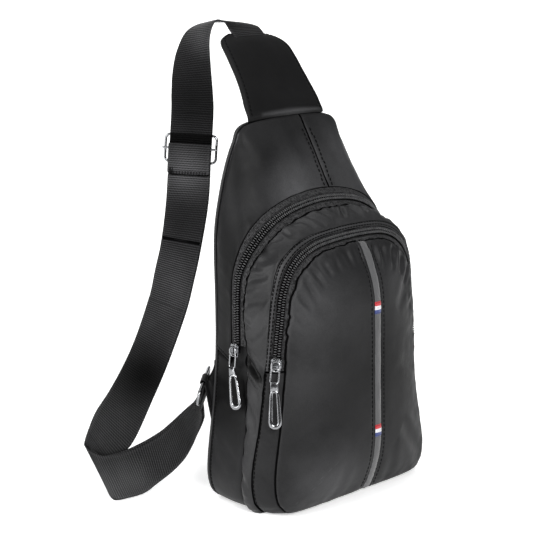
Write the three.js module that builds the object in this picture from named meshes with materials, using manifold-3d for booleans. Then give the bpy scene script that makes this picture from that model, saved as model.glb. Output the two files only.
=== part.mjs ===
// Single-strap sling bag: a soft two-compartment body with two arched zips, a padded
// shoulder piece sewn into its top seam, and one length of webbing that runs from the
// pad through a tri-glide, round a ring at the lower rear corner, and back up to the
// tri-glide's bar. Millimetres, +Z up, front of the bag towards -Y, origin at the
// middle of the base.
import * as THREE from 'three';
import { mergeVertices } from 'three/addons/utils/BufferGeometryUtils.js';
import Module from 'manifold-3d';

// ---------------------------------------------------------------- driving dimensions
const GAP = 0.3;                 // clearance kept between neighbouring pieces
const FABRIC = 1.3;              // shell cloth with its coating and interlining
const TAPE = 1.0;                // zip tape
const TOOTH_H = 1.3;             // height of the tooth rows above the tape
const TEETH_HALF = 3.0;          // half width of the closed chain
const BACK_SKIN = 1.4;           // rear air-mesh skin
const BACK_FOAM = 3.6;           // rear foam
const BACK_Y = 43.0;             // rear face of the bag
const STRIPE_X = 14.0;           // centre of the contrast stripe on the front panel
const STRIPE_HALF = 3.0;
const SEAM_X = 11.5;             // centre seam of the yoke
const WEB_T = 1.3;               // webbing thickness
const WEB_W = 38.0;              // webbing width
const PLY_PITCH = 2.1;           // distance between the two plies of the webbing
const PLY_SPREAD = 0.6;           // extra distance where the webbing twists
const ZIP_TRAVEL = 55.0;         // straight run of each slider
const LINK_H = 14.0, LINK_WIRE = 1.4;
const EYE_R = 1.3, LUG_R = 2.1;  // eye of the pull round the link
const LIFT = 4.0;                // the seam tables are drawn with the floor at z = -LIFT

// ---------------------------------------------------------------- seam lines
// Each line is a half loop of 16 stations, from the middle of the base (0), round the
// lower corner (2-4), up the side (5-9), round the shoulder (10-13) to the middle of
// the top (15). Values are half width, y, z.
const REAR = [[0,41,-4],[74,41,-4],[91.5,42,1],[98.5,42.5,16],[98,42,38],[92,41,78],[87.5,41,118],[86,41,143],
  [85.5,40.5,180],[85.5,40,217],[84,39.5,241],[79,39,265],[71.5,38,290],[62,37,311],[50,35.5,326],[0,34.5,329.5]];
const SIDE = [[0,-4,-4],[76,-4,-4],[94,-4,2],[100.5,-4,17],[100.5,-4.5,40],[96,-5,78],[93,-5,118],[91.5,-1.5,143],
  [91,0,172],[89.5,-1,200],[83.5,-4,216],[73,-5.5,228],[60,-6.5,238],[45,-7,245],[26,-7.3,250],[0,-7.5,252.5]];
const MAIN_TEETH = { 7:[91.5,8,143],8:[91.3,8,172],9:[90.6,7,201],10:[87,3,218],11:[77,1,232],12:[64,0,243],13:[48,0,251],14:[28,0,256],15:[0,0,258.5] };
const MAIN_REAR = { 7:[91,16,143],8:[91,16,172],9:[90.5,14.5,203],10:[88.5,10,223],11:[80,8,239],12:[66,7.5,251],13:[49,7,259],14:[28,7,264.5],15:[0,7,267] };
const MIDDLE = [[0,-17,-4],[76,-17,-4],[94,-17,2],[101,-17.5,17],[101,-18,40],[96,-22,78],[92.5,-27,127],[90.5,-28,146],
  [88.5,-29,172],[85,-29.5,198],[78,-29,216],[67,-28.5,226.5],[55,-28,232.5],[40,-27.5,236],[21,-27.3,237.5],[0,-27,238]];
const FRONT_TEETH = { 6:[86.5,-34,127],7:[84.3,-34.4,146],8:[81.5,-35,170],9:[78.9,-35.3,191],10:[71.5,-35,209],11:[61.5,-34.5,219],12:[50,-34,225],13:[37,-33.5,228.5],14:[20,-33.2,230],15:[0,-33,230.5] };
const PANEL = [[0,-42,-1],[71,-42,-0.5],[88,-41,7],[93,-40,20],[92,-39,40],[85,-39,80],[79.5,-40,127],[78,-41,145],
  [75.5,-41.5,167],[71.5,-41.5,188],[65,-41,202],[56,-40.5,211],[46,-40,217],[34,-39,221],[19,-38.7,222.5],[0,-38.5,223]];
const ARCH_SHIFT = 3.0;          // the arches sit this far towards +X
const ARCH_TILT = 0.02;          // and rise slightly towards +X

const V = (x, y, z) => new THREE.Vector3(x, y, z);
const smooth = (a, b, x) => { const t = Math.min(1, Math.max(0, (x - a) / (b - a))); return t * t * (3 - 2 * t); };
function cubic(p0, p1, p2, p3, t) {
  return 0.5 * (2 * p1 + (p2 - p0) * t + (2 * p0 - 5 * p1 + 4 * p2 - p3) * t * t + (3 * p1 - p0 - 3 * p2 + p3) * t * t * t);
}
// A seam line as a function of s: -15 is the middle of the base, 0 the middle of the
// top, +15 the middle of the base again by way of the right side.
function line(keys, arch = true) {
  const idx = Object.keys(keys).map(Number);
  const lo = Math.min(...idx), hi = 15;
  const at = (i) => {
    if (i > hi) { const k = keys[2 * hi - i]; return [-k[0], k[1], k[2]]; }
    if (i < lo) {
      if (lo === 0) { const k = keys[-i]; return [-k[0], k[1], k[2]]; }
      const a = keys[lo], b = keys[lo + 1]; return [2 * a[0] - b[0], 2 * a[1] - b[1], 2 * a[2] - b[2]];
    }
    return keys[i];
  };
  return (s) => {
    const i = 15 - Math.abs(s), k = Math.min(Math.floor(i), hi - 1), t = i - k;
    const c = [0, 1, 2].map((d) => cubic(at(k - 1)[d], at(k)[d], at(k + 1)[d], at(k + 2)[d], t));
    const w = arch ? smooth(7, 15, i) : 0, u = arch ? smooth(7, 11, i) : 0;
    const x = (s > 0 ? 1 : -1) * c[0];
    return V(x + ARCH_SHIFT * w, c[1], Math.max(c[2], -LIFT) + ARCH_TILT * x * u);
  };
}
const L = {
  rear: line(REAR, false), side: line(SIDE), mainTeeth: line(MAIN_TEETH), mainRear: line(MAIN_REAR),
  middle: line(MIDDLE), frontTeeth: line(FRONT_TEETH), panel: line(PANEL),
};

// ---------------------------------------------------------------- mesh helpers
function closedMesh(pos, tri) {
  let vol = 0;
  const a = V(), b = V(), c = V();
  for (let i = 0; i < tri.length; i += 3) {
    a.fromArray(pos, tri[i] * 3); b.fromArray(pos, tri[i + 1] * 3); c.fromArray(pos, tri[i + 2] * 3);
    vol += a.dot(b.clone().cross(c));
  }
  if (vol < 0) for (let i = 0; i < tri.length; i += 3) { const q = tri[i + 1]; tri[i + 1] = tri[i + 2]; tri[i + 2] = q; }
  const g = new THREE.BufferGeometry();
  g.setAttribute('position', new THREE.Float32BufferAttribute(pos, 3));
  g.setIndex(tri);
  return g;
}
// A shell between two grids of points of the same size. With loop set, the first and
// last columns join up; otherwise all four edges are closed.
function shell(outer, inner, loop = false) {
  const n = outer.length, m = outer[0].length, pos = [], tri = [];
  for (const grid of [outer, inner]) for (const row of grid) for (const p of row) pos.push(p.x, p.y, p.z);
  const id = (g, i, j) => g * n * m + i * m + j;
  const cols = loop ? n : n - 1;
  for (let i = 0; i < cols; i++) {
    const k = (i + 1) % n;
    for (let j = 0; j < m - 1; j++) {
      tri.push(id(0, i, j), id(0, k, j), id(0, k, j + 1), id(0, i, j), id(0, k, j + 1), id(0, i, j + 1));
      tri.push(id(1, i, j), id(1, k, j + 1), id(1, k, j), id(1, i, j), id(1, i, j + 1), id(1, k, j + 1));
    }
    tri.push(id(0, i, 0), id(1, k, 0), id(0, k, 0), id(0, i, 0), id(1, i, 0), id(1, k, 0));
    const e = m - 1;
    tri.push(id(0, i, e), id(0, k, e), id(1, k, e), id(0, i, e), id(1, k, e), id(1, i, e));
  }
  if (!loop) for (let j = 0; j < m - 1; j++) {
    const e = n - 1;
    tri.push(id(0, 0, j), id(0, 0, j + 1), id(1, 0, j + 1), id(0, 0, j), id(1, 0, j + 1), id(1, 0, j));
    tri.push(id(0, e, j), id(1, e, j + 1), id(0, e, j + 1), id(0, e, j), id(1, e, j), id(1, e, j + 1));
  }
  return closedMesh(pos, tri);
}
// A strip of cloth between seam lines a and b for s in the given list. The inward
// direction on each seam is the mitre between the strip and its neighbour.
function strip(sList, a, b, { rows = 2, t = FABRIC, trimA = 0.2, trimB = 0.2, prev = null, next = null, bulge = null, loop = false, lift = 0 }) {
  const n = sList.length, outer = [], inner = [];
  const A = sList.map(a), B = sList.map(b), P = prev ? sList.map(prev) : null, N = next ? sList.map(next) : null;
  const at = (arr, i) => arr[loop ? (i + n) % n : Math.min(n - 1, Math.max(0, i))];
  for (let i = 0; i < n; i++) {
    const tA = at(A, i + 1).clone().sub(at(A, i - 1)).normalize(), tB = at(B, i + 1).clone().sub(at(B, i - 1)).normalize();
    const d = B[i].clone().sub(A[i]);
    const nMid = d.clone().cross(tA.clone().add(tB)).normalize();
    const mitre = (tan, other, sign) => {
      const own = d.clone().cross(tan).normalize();
      if (!other) return own;
      const nb = other.multiplyScalar(sign).cross(tan).normalize();
      const m = own.clone().add(nb); if (m.length() < 0.6) return own;
      m.normalize();
      return m.multiplyScalar(Math.min(1.6, 1 / Math.max(0.5, m.dot(own))));
    };
    const nA = mitre(tA, P ? A[i].clone().sub(P[i]) : null, 1);
    const nB = mitre(tB, N ? N[i].clone().sub(B[i]) : null, 1);
    const len = d.length(), oRow = [], iRow = [];
    for (let j = 0; j <= rows; j++) {
      const v0 = trimA / len, v1 = 1 - trimB / len, v = v0 + (v1 - v0) * j / rows;
      const nn = nA.clone().multiplyScalar(Math.max(0, 1 - 2 * v)).add(nB.clone().multiplyScalar(Math.max(0, 2 * v - 1)))
        .add(nMid.clone().multiplyScalar(1 - Math.abs(2 * v - 1)));
      const p = A[i].clone().addScaledVector(d, v);
      if (bulge) p.add(bulge(sList[i], v, nMid));
      const up = nn.clone();
      oRow.push(p.clone().addScaledVector(up, lift));
      iRow.push(p.clone().addScaledVector(up, lift - t));
    }
    outer.push(oRow); inner.push(iRow);
  }
  return shell(outer, inner, loop);
}
const range = (a, b, step) => { const n = Math.max(1, Math.round((b - a) / step)), r = []; for (let i = 0; i <= n; i++) r.push(a + (b - a) * i / n); return r; };

// manifold-3d joins and cuts
const wasm = await Module();
wasm.setup();
function solid(geo, matrix = null) {
  const g = geo.clone();
  if (matrix) g.applyMatrix4(matrix);
  for (const k of Object.keys(g.attributes)) if (k !== 'position') g.deleteAttribute(k);
  const m = mergeVertices(g, 1e-4);
  return new wasm.Manifold(new wasm.Mesh({ numProp: 3, vertProperties: Float32Array.from(m.attributes.position.array), triVerts: Uint32Array.from(m.index.array) }));
}
function geometry(man) {
  const m = man.getMesh(), g = new THREE.BufferGeometry();
  const pos = new Float32Array(m.numVert * 3);
  for (let i = 0; i < m.numVert; i++) for (let d = 0; d < 3; d++) pos[3 * i + d] = m.vertProperties[i * m.numProp + d];
  g.setAttribute('position', new THREE.BufferAttribute(pos, 3));
  g.setIndex(Array.from(m.triVerts));
  return g;
}
const T = (x, y, z) => new THREE.Matrix4().makeTranslation(x, y, z);
const box = (w, d, h, x, y, z) => solid(new THREE.BoxGeometry(w, d, h), T(x, y, z));
const halfSpaceX = (lo, hi) => box(hi - lo, 600, 900, (lo + hi) / 2, 0, 300);
function roundedRect(w, h, r, path = new THREE.Shape()) {
  const x = -w / 2, y = -h / 2;
  path.moveTo(x + r, y); path.lineTo(x + w - r, y); path.absarc(x + w - r, y + r, r, -Math.PI / 2, 0, false);
  path.lineTo(x + w, y + h - r); path.absarc(x + w - r, y + h - r, r, 0, Math.PI / 2, false);
  path.lineTo(x + r, y + h); path.absarc(x + r, y + h - r, r, Math.PI / 2, Math.PI, false);
  path.lineTo(x, y + r); path.absarc(x + r, y + r, r, Math.PI, 1.5 * Math.PI, false);
  return path;
}
// A plate in its own X-Y plane, centred on Z, with softened edges
function plate(shape, thick, bevel = 0.35, curve = 4) {
  const g = new THREE.ExtrudeGeometry(shape, { depth: thick - 2 * bevel, bevelEnabled: bevel > 0, bevelThickness: bevel, bevelSize: bevel, bevelOffset: -bevel, bevelSegments: 1, curveSegments: curve, steps: 1 });
  g.translate(0, 0, -(thick - 2 * bevel) / 2);
  return g;
}
// Rounded rectangular wire frame: outer size w x h, wire thickness d
function wireFrame(w, h, r, wire, depth, curve = 3) {
  const s = roundedRect(w, h, r);
  s.holes.push(roundedRect(w - 2 * wire, h - 2 * wire, Math.max(0.6, r - wire), new THREE.Path()));
  return plate(s, depth, 0.35, curve);
}
const frame = (o, x, y, z) => new THREE.Matrix4().makeBasis(x, y, z).setPosition(o);

// ---------------------------------------------------------------- materials
const mat = (name, color, roughness, metalness = 0) => { const m = new THREE.MeshStandardMaterial({ color, roughness, metalness }); m.name = name; return m; };
const M = {
  shell: mat('shell', 0x1b1b1c, 0.5), mesh: mat('air_mesh', 0x141415, 0.9), foam: mat('foam', 0x2c2c2e, 0.95),
  lining: mat('lining', 0x232324, 0.7), tape: mat('zip_tape', 0x121213, 0.8), teeth: mat('zip_teeth', 0x1c1c1e, 0.35),
  webbing: mat('webbing', 0x242425, 0.6), metal: mat('hardware', 0xc9cbce, 0.18, 1), stripe: mat('stripe', 0x5b5b5e, 0.6),
  tag: mat('tag', 0xe6e6e8, 0.6),
};
const bag = new THREE.Group();
bag.name = 'sling_bag';
bag.position.z = LIFT;
function add(name, geo, material, parent = bag) { const m = new THREE.Mesh(geo, material); m.name = name; parent.add(m); return m; }

// ---------------------------------------------------------------- bag body
// rear wall: air-mesh skin over foam, cut to the rear seam line
function rearOutline(inset) {
  const pts = [];
  for (const s of range(-15, 15, 0.5).slice(0, -1)) { const p = L.rear(s); pts.push(new THREE.Vector2(p.x, p.z)); }
  const c = new THREE.Vector2(0, 150), shape = new THREE.Shape();
  pts.forEach((p, i) => {
    const a = pts[(i + pts.length - 1) % pts.length], b = pts[(i + 1) % pts.length];
    const t = b.clone().sub(a).normalize(); const n = new THREE.Vector2(t.y, -t.x);
    if (n.dot(c.clone().sub(p)) < 0) n.negate();
    const q = p.clone().addScaledVector(n, inset);
    if (i === 0) shape.moveTo(q.x, q.y); else shape.lineTo(q.x, q.y);
  });
  shape.closePath();
  return shape;
}
function slab(shape, y0, y1) {
  const g = new THREE.ExtrudeGeometry(shape, { depth: y1 - y0, bevelEnabled: false, steps: 1 });
  g.applyMatrix4(new THREE.Matrix4().makeBasis(V(1, 0, 0), V(0, 0, 1), V(0, -1, 0)).setPosition(V(0, y1, 0)));
  return g;
}
add('back_skin', slab(rearOutline(0.4), BACK_Y - BACK_SKIN, BACK_Y), M.mesh);
add('back_foam', slab(rearOutline(1.8), BACK_Y - BACK_SKIN - GAP - BACK_FOAM, BACK_Y - BACK_SKIN - GAP), M.foam);
const WALL_Y = BACK_Y - BACK_SKIN - GAP - BACK_FOAM - GAP;      // front of the rear wall
const rearEdge = (s) => { const p = L.rear(s); return V(p.x, Math.min(p.y, WALL_Y), p.z); };

// upper part: two yoke panels meeting on the centre seam
const yoke = solid(strip(range(-8, 8, 0.4), rearEdge, L.mainRear, { rows: 4, next: L.mainTeeth, trimA: 0.3, trimB: 0.3 }));
const aboveLeg = box(400, 400, 400, 0, 0, 143.2 + 200);
add('yoke_left', geometry(yoke.intersect(halfSpaceX(-200, SEAM_X - GAP / 2)).intersect(aboveLeg)), M.shell);
add('yoke_right', geometry(yoke.intersect(halfSpaceX(SEAM_X + GAP / 2, 200)).intersect(aboveLeg)), M.shell);

// lower sides and base of the rear compartment, one U-shaped piece
const lowS = [...range(8, 15, 0.5), ...range(-15, -8, 0.5).slice(1)];
const lowLoop = (a) => (s) => a(Math.abs(s) >= 15 ? -15 : s);
const belowLeg = box(400, 400, 142.9 + 20, 0, 0, (142.9 - 20) / 2);
const sideStraight = (s) => { const p = L.side(s); const i = 15 - Math.abs(s); if (i > 7) p.y = -1.5; return p; };
add('rear_gusset', geometry(solid(strip(lowS, lowLoop(rearEdge), lowLoop(sideStraight), { rows: 2, t: 1.6, next: lowLoop(L.middle), trimA: 0.3 })).intersect(belowLeg)), M.shell);

// middle section: a closed loop of cloth between the two zips and round the base
const loopS = range(-15, 15, 0.5).slice(0, -1);
add('middle_gusset', strip(loopS, L.side, L.middle, { rows: 2, prev: (s) => { const i = 15 - Math.abs(s); return i >= 7 ? L.mainTeeth(s) : rearEdge(s); }, next: (s) => { const i = 15 - Math.abs(s); return i >= 6 ? L.frontTeeth(s) : L.panel(s); }, loop: true }), M.shell);

// front pocket: lower gusset
const fgS = [...range(9.06, 15, 0.5), ...range(-15, -9.06, 0.5).slice(1)];
add('front_gusset', strip(fgS, lowLoop(L.middle), lowLoop(L.panel), { rows: 2, prev: lowLoop(L.side), trimA: 0.3, trimB: 0.4 }), M.shell);

// zips: two tapes and two tooth rows each
function lerpLine(a, b, mm) { return (s) => { const p = a(s), q = b(s), d = q.clone().sub(p); return p.addScaledVector(d.normalize(), mm); }; }
function zip(name, s0, rearLine, teeth, frontLine, prev, next) {
  const S = range(-s0 + 0.05, s0 - 0.05, 0.4);
  const rTooth = lerpLine(teeth, rearLine, TEETH_HALF), fTooth = lerpLine(teeth, frontLine, TEETH_HALF);
  const rIn = lerpLine(teeth, rearLine, 0.28), fIn = lerpLine(teeth, frontLine, 0.28);
  add(name + '_tape_rear', strip(S, rearLine, rIn, { rows: 1, t: TAPE, trimA: 0.45, trimB: 0, prev, lift: 0 }), M.tape);
  add(name + '_tape_front', strip(S, fIn, frontLine, { rows: 1, t: TAPE, trimA: 0, trimB: 0.3, next, lift: 0 }), M.tape);
  add(name + '_teeth_rear', strip(S, rTooth, rIn, { rows: 1, t: TOOTH_H, trimA: 0, trimB: 0, lift: TOOTH_H + GAP }), M.teeth);
  add(name + '_teeth_front', strip(S, fIn, fTooth, { rows: 1, t: TOOTH_H, trimA: 0, trimB: 0, lift: TOOTH_H + GAP }), M.teeth);
}
zip('main_zip', 8, L.mainRear, L.mainTeeth, L.side, null, null);
zip('front_zip', 9, L.middle, L.frontTeeth, L.panel, null, null);

// front panel: crowned, split by the stripe
const CROWN_Y = -59;
function panelGrid(rows) {
  const outer = [], inner = [];
  for (const s of loopS) {
    const e = L.panel(s), ez = L.panel(-Math.abs(s)).z, c = V(0, CROWN_Y, Math.min(165, Math.max(60, ez)));
    const o = [], q = [];
    for (let j = 0; j <= rows; j++) {
      const v = j / rows, k = 0.03 + v * 0.97;
      const f = 1 - Math.pow(1 - k, 2.4);
      const p = V(e.x + (c.x - e.x) * k, e.y + (CROWN_Y - e.y) * f, e.z + (c.z - e.z) * k);
      o.push(p); q.push(V(p.x, p.y + FABRIC + 0.5 * (1 - k), p.z));
    }
    outer.push(o); inner.push(q);
  }
  return [outer, inner];
}
function cappedPanel() {
  // rings of points closed by a fan round the middle line on each face
  const [outer, inner] = panelGrid(5);
  const n = outer.length, m = outer[0].length, pos = [], tri = [];
  const put = (p) => { pos.push(p.x, p.y, p.z); return pos.length / 3 - 1; };
  const face = (grid) => {
    const ids = grid.map((row) => row.slice(0, m - 1).map(put));
    const mid = grid.map((row) => row[m - 1]); const key = new Map();
    const midIds = mid.map((p) => { const k = p.z.toFixed(3); if (!key.has(k)) key.set(k, put(V(0, p.y, p.z))); return key.get(k); });
    return ids.map((r, i) => [...r, midIds[i]]);
  };
  const O = face(outer), I = face(inner);
  const quad = (a, b, c, d, flip) => { for (const t of [[a, b, c], [a, c, d]]) { if (new Set(t).size < 3) continue; if (flip) t.reverse(); tri.push(...t); } };
  for (let i = 0; i < n; i++) {
    const k = (i + 1) % n;
    for (let j = 0; j < m - 1; j++) { quad(O[i][j], O[k][j], O[k][j + 1], O[i][j + 1], false); quad(I[i][j], I[k][j], I[k][j + 1], I[i][j + 1], true); }
    quad(O[i][0], I[i][0], I[k][0], O[k][0], false);
  }
  return closedMesh(pos, tri);
}
const panel = solid(cappedPanel());
add('front_panel_left', geometry(panel.intersect(halfSpaceX(-200, STRIPE_X - STRIPE_HALF - GAP / 2))), M.shell);
add('front_panel_right', geometry(panel.intersect(halfSpaceX(STRIPE_X + STRIPE_HALF + GAP / 2, 200))), M.shell);
add('front_stripe', geometry(panel.intersect(halfSpaceX(STRIPE_X - STRIPE_HALF + GAP / 2, STRIPE_X + STRIPE_HALF - GAP / 2))), M.stripe);
for (const [name, z] of [['tag_upper', 168], ['tag_lower', 56.5]]) {
  const cut = panel.translate([0, -FABRIC - 0.25, 0]).intersect(box(7.5, 200, 11, STRIPE_X, 0, z));
  add(name, geometry(cut.subtract(panel.translate([0, -GAP, 0]))), M.tag);
}

// divider between the two compartments, and the two lining bags
function outline(fn, inset, sub = 0.5) {
  const shape = new THREE.Shape(), pts = range(-15, 15, sub).slice(0, -1).map(fn), c = V(0, 0, 110);
  pts.forEach((p, i) => {
    const dx = c.x - p.x, dz = c.z - p.z, l = Math.hypot(dx, dz);
    const a = pts[(i + pts.length - 1) % pts.length], b = pts[(i + 1) % pts.length];
    let nx = b.z - a.z, nz = -(b.x - a.x); const nl = Math.hypot(nx, nz); nx /= nl; nz /= nl;
    if (nx * dx + nz * dz < 0) { nx = -nx; nz = -nz; }
    const x = p.x + nx * inset, z = p.z + nz * inset;
    if (i === 0) shape.moveTo(x, z); else shape.lineTo(x, z);
  });
  shape.closePath();
  return shape;
}
const minLine = (a, b) => (s) => { const p = a(s), q = b(s); return V(Math.sign(p.x) * Math.min(Math.abs(p.x), Math.abs(q.x)), 0, p.z); };
add('divider', slab(outline(L.middle, 2.8), -16.2, -14.8), M.lining);
{
  const o = solid(slab(outline(L.middle, 9.5, 0.75), -13.5, 35.5)), i = solid(slab(outline(L.middle, 10.6, 0.75), -30, 34.4));
  add('main_lining', geometry(o.subtract(i)), M.lining);
  const o2 = solid(slab(outline(L.panel, 4.5, 0.75), -35.5, -17.5)), i2 = solid(slab(outline(L.panel, 5.6, 0.75), -60, -18.6));
  add('pocket_lining', geometry(o2.subtract(i2)), M.lining);
}

// ---------------------------------------------------------------- shoulder pad
// stations: y, z of the middle of the visible face, half width, tilt (rise of the left edge)
const PAD = [[34.2, 331, 46.5, 0], [44, 347.5, 44, 2.5], [56, 364.8, 42, 2.4], [68, 381.5, 40.8, 2], [77, 391.5, 39, 2], [83.5, 397, 33, 1.6], [88, 400.3, 22, 1.2]];
function padLayer(n0, n1, inset, i0 = 0, i1 = 6) {
  const rowsN = 4, outer = [], inner = [];
  for (const u of range(i0, i1, 0.5)) {
    const k = Math.min(Math.floor(u), PAD.length - 2), t = u - k;
    const g = (i) => PAD[Math.min(PAD.length - 1, Math.max(0, i))];
    const c = [0, 1, 2, 3].map((d) => cubic(g(k - 1)[d], g(k)[d], g(k + 1)[d], g(k + 2)[d], t));
    const e = 0.01, k2 = [0, 1].map((d) => cubic(g(k - 1)[d], g(k)[d], g(k + 1)[d], g(k + 2)[d], t + e) - c[d]);
    const tan = V(0, k2[0], k2[1]).normalize(), nrm = V(0, -tan.z, tan.y);   // towards the front and up
    const o = [], q = [];
    for (let j = 0; j <= rowsN; j++) {
      const w = -1 + 2 * j / rowsN;
      const p = V(w * (c[2] - inset) + 0.5, c[0], c[1] - w * c[3]).addScaledVector(nrm, -1.6 * w * w);
      const pinch = Math.min(1, Math.max(0, (u - 0) / 0.6)) ;
      o.push(p.clone().addScaledVector(nrm, n0)); q.push(p.clone().addScaledVector(nrm, n1));
    }
    outer.push(o); inner.push(q);
  }
  return shell(outer, inner);
}
add('pad_face', padLayer(0, -1.2, 0), M.shell);
add('pad_foam', padLayer(-1.5, -5.3, 3.0, 0.2, 5.7), M.foam);
add('pad_back', padLayer(-5.6, -6.6, 3.4, 0.12, 5.9), M.mesh);

// ---------------------------------------------------------------- webbing
// Both edges of the running ply, from the pad to the ring
const E1 = [], E2 = [];
const ends = (a, b) => { E1.push(V(...a)); E2.push(V(...b)); };
ends([18.4, 94.0, 403.9], [-19.4, 91.0, 405.1]);
ends([14.2, 100.0, 406.0], [-22.2, 90.0, 408.0]);
ends([3.5, 110.0, 408.0], [-27.5, 88.0, 411.2]);
ends([-13.5, 120.8, 405.6], [-34.5, 90.2, 412.4]);
ends([-31.5, 130.3, 397.5], [-37.5, 93.7, 405.5]);
ends([-43.6, 133.8, 384.6], [-37.4, 97.2, 392.4]);
ends([-50.5, 132.8, 366.0], [-35.5, 98.2, 370.0]);
ends([-55.0, 129.9, 346.6], [-33.4, 98.7, 347.4]);
ends([-57.4, 127.9, 331.0], [-33.8, 98.1, 329.0]);
ends([-63.6, 125.7, 291.5], [-40.0, 95.9, 289.5]);
ends([-69.8, 123.5, 252.0], [-46.2, 93.7, 250.0]);
ends([-75.1, 125.5, 214.1], [-58.7, 91.5, 209.3]);
ends([-80.7, 128.1, 189.4], [-64.9, 94.7, 180.6]);
ends([-86.6, 131.6, 161.9], [-73.3, 97.4, 152.0]);
ends([-105.7, 134.4, 120.1], [-95.3, 100.8, 105.0]);
ends([-136.1, 130.0, 88.4], [-113.4, 110.0, 63.2]);
ends([-154.6, 128.0, 72.1], [-129.8, 112.0, 39.3]);
ends([-163.8, 127.5, 58.6], [-147.1, 114.0, 25.5]);
ends([-169.5, 127.5, 46.8], [-155.5, 113.0, 4.6]);
ends([-170.4, 125.0, 43.4], [-159.0, 108.0, -0.1]);
ends([-168.2, 121.0, 39.3], [-158.9, 102.5, -3.6]);
ends([-165.6, 115.0, 36.7], [-158.2, 97.0, -3.0]);
ends([-159.2, 110.5, 34.9], [-151.5, 93.0, -2.2]);
ends([-139.7, 106.0, 34.4], [-134.5, 89.5, -0.9]);
ends([-118.3, 103.0, 37.9], [-123.9, 82.0, 7.9]);
ends([-105.3, 99.0, 43.2], [-111.9, 75.0, 17.6]);
ends([-95.5, 94.0, 51.6], [-103.8, 68.0, 28.9]);
ends([-86.5, 91.4, 59.4], [-100.4, 61.4, 41.5]);
ends([-82.4, 83.1, 69.2], [-100.3, 53.1, 56.0]);
ends([-79.4, 76.0, 79.0], [-100.6, 47.2, 69.4]);
ends([-78.0, 70.5, 90.0], [-102.2, 43.0, 81.2]);
const WEB_N = E1.length - 1, WEB_END = WEB_N - 0.75;
function edge(arr, u) {
  const k = Math.min(Math.floor(u), arr.length - 2), t = u - k, g = (i) => arr[Math.min(arr.length - 1, Math.max(0, i))];
  return V(...['x', 'y', 'z'].map((d) => cubic(g(k - 1)[d], g(k)[d], g(k + 1)[d], g(k + 2)[d], t)));
}
function webFrame(u) {
  const e = 0.02, a = edge(E1, u), b = edge(E2, u);
  const u0 = Math.max(0, u - e), u1 = Math.min(WEB_N, u + e);
  const m0 = edge(E1, u0).add(edge(E2, u0)), m1 = edge(E1, u1).add(edge(E2, u1));
  const d1 = edge(E1, u1).sub(edge(E1, u0)), d2 = edge(E2, u1).sub(edge(E2, u0));
  const w = a.clone().sub(b);
  const n = d1.normalize().add(d2.normalize()).cross(w).normalize();
  return { a, b, w, n, m: m0.clone().add(m1).multiplyScalar(0.25), t: m1.sub(m0).normalize() };
}
// stations along a ply, closer together round the fold
function stations(u0, u1) {
  const r = [];
  for (const [a, b, d] of [[0, 12, 0.34], [12, 17, 0.25], [17, 21.6, 0.16], [21.6, 40, 0.34]]) {
    const lo = Math.max(a, u0), hi = Math.min(b, u1);
    if (hi - lo > 1e-6) r.push(...range(lo, hi, d).slice(r.length ? 1 : 0));
  }
  return r;
}
// a ply of webbing between stations u0 and u1, offset from the running ply
function ply(u0, u1, off, raise = () => 0) {
  const outer = [], inner = [];
  for (const u of stations(u0, u1)) {
    const f = webFrame(u), r = f.w.clone().normalize().multiplyScalar(raise(u));
    const A = f.a.clone().add(r), B = f.b.clone().add(r);
    outer.push([A.clone().addScaledVector(f.n, off + WEB_T / 2), B.clone().addScaledVector(f.n, off + WEB_T / 2)]);
    inner.push([A.clone().addScaledVector(f.n, off - WEB_T / 2), B.clone().addScaledVector(f.n, off - WEB_T / 2)]);
  }
  return shell(outer, inner);
}
const U_GLIDE = 8.69, U_FOLD = 19, U_INNER = 17.2;   // stations of the tri-glide, the fold, and where the inner ply starts to turn
add('strap_upper', ply(0.02, 8, 0), M.webbing);
add('strap_running', ply(8.02, U_FOLD, 0), M.webbing);
add('strap_lower_outer', ply(U_FOLD + 0.04, WEB_END, 0), M.webbing);

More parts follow.
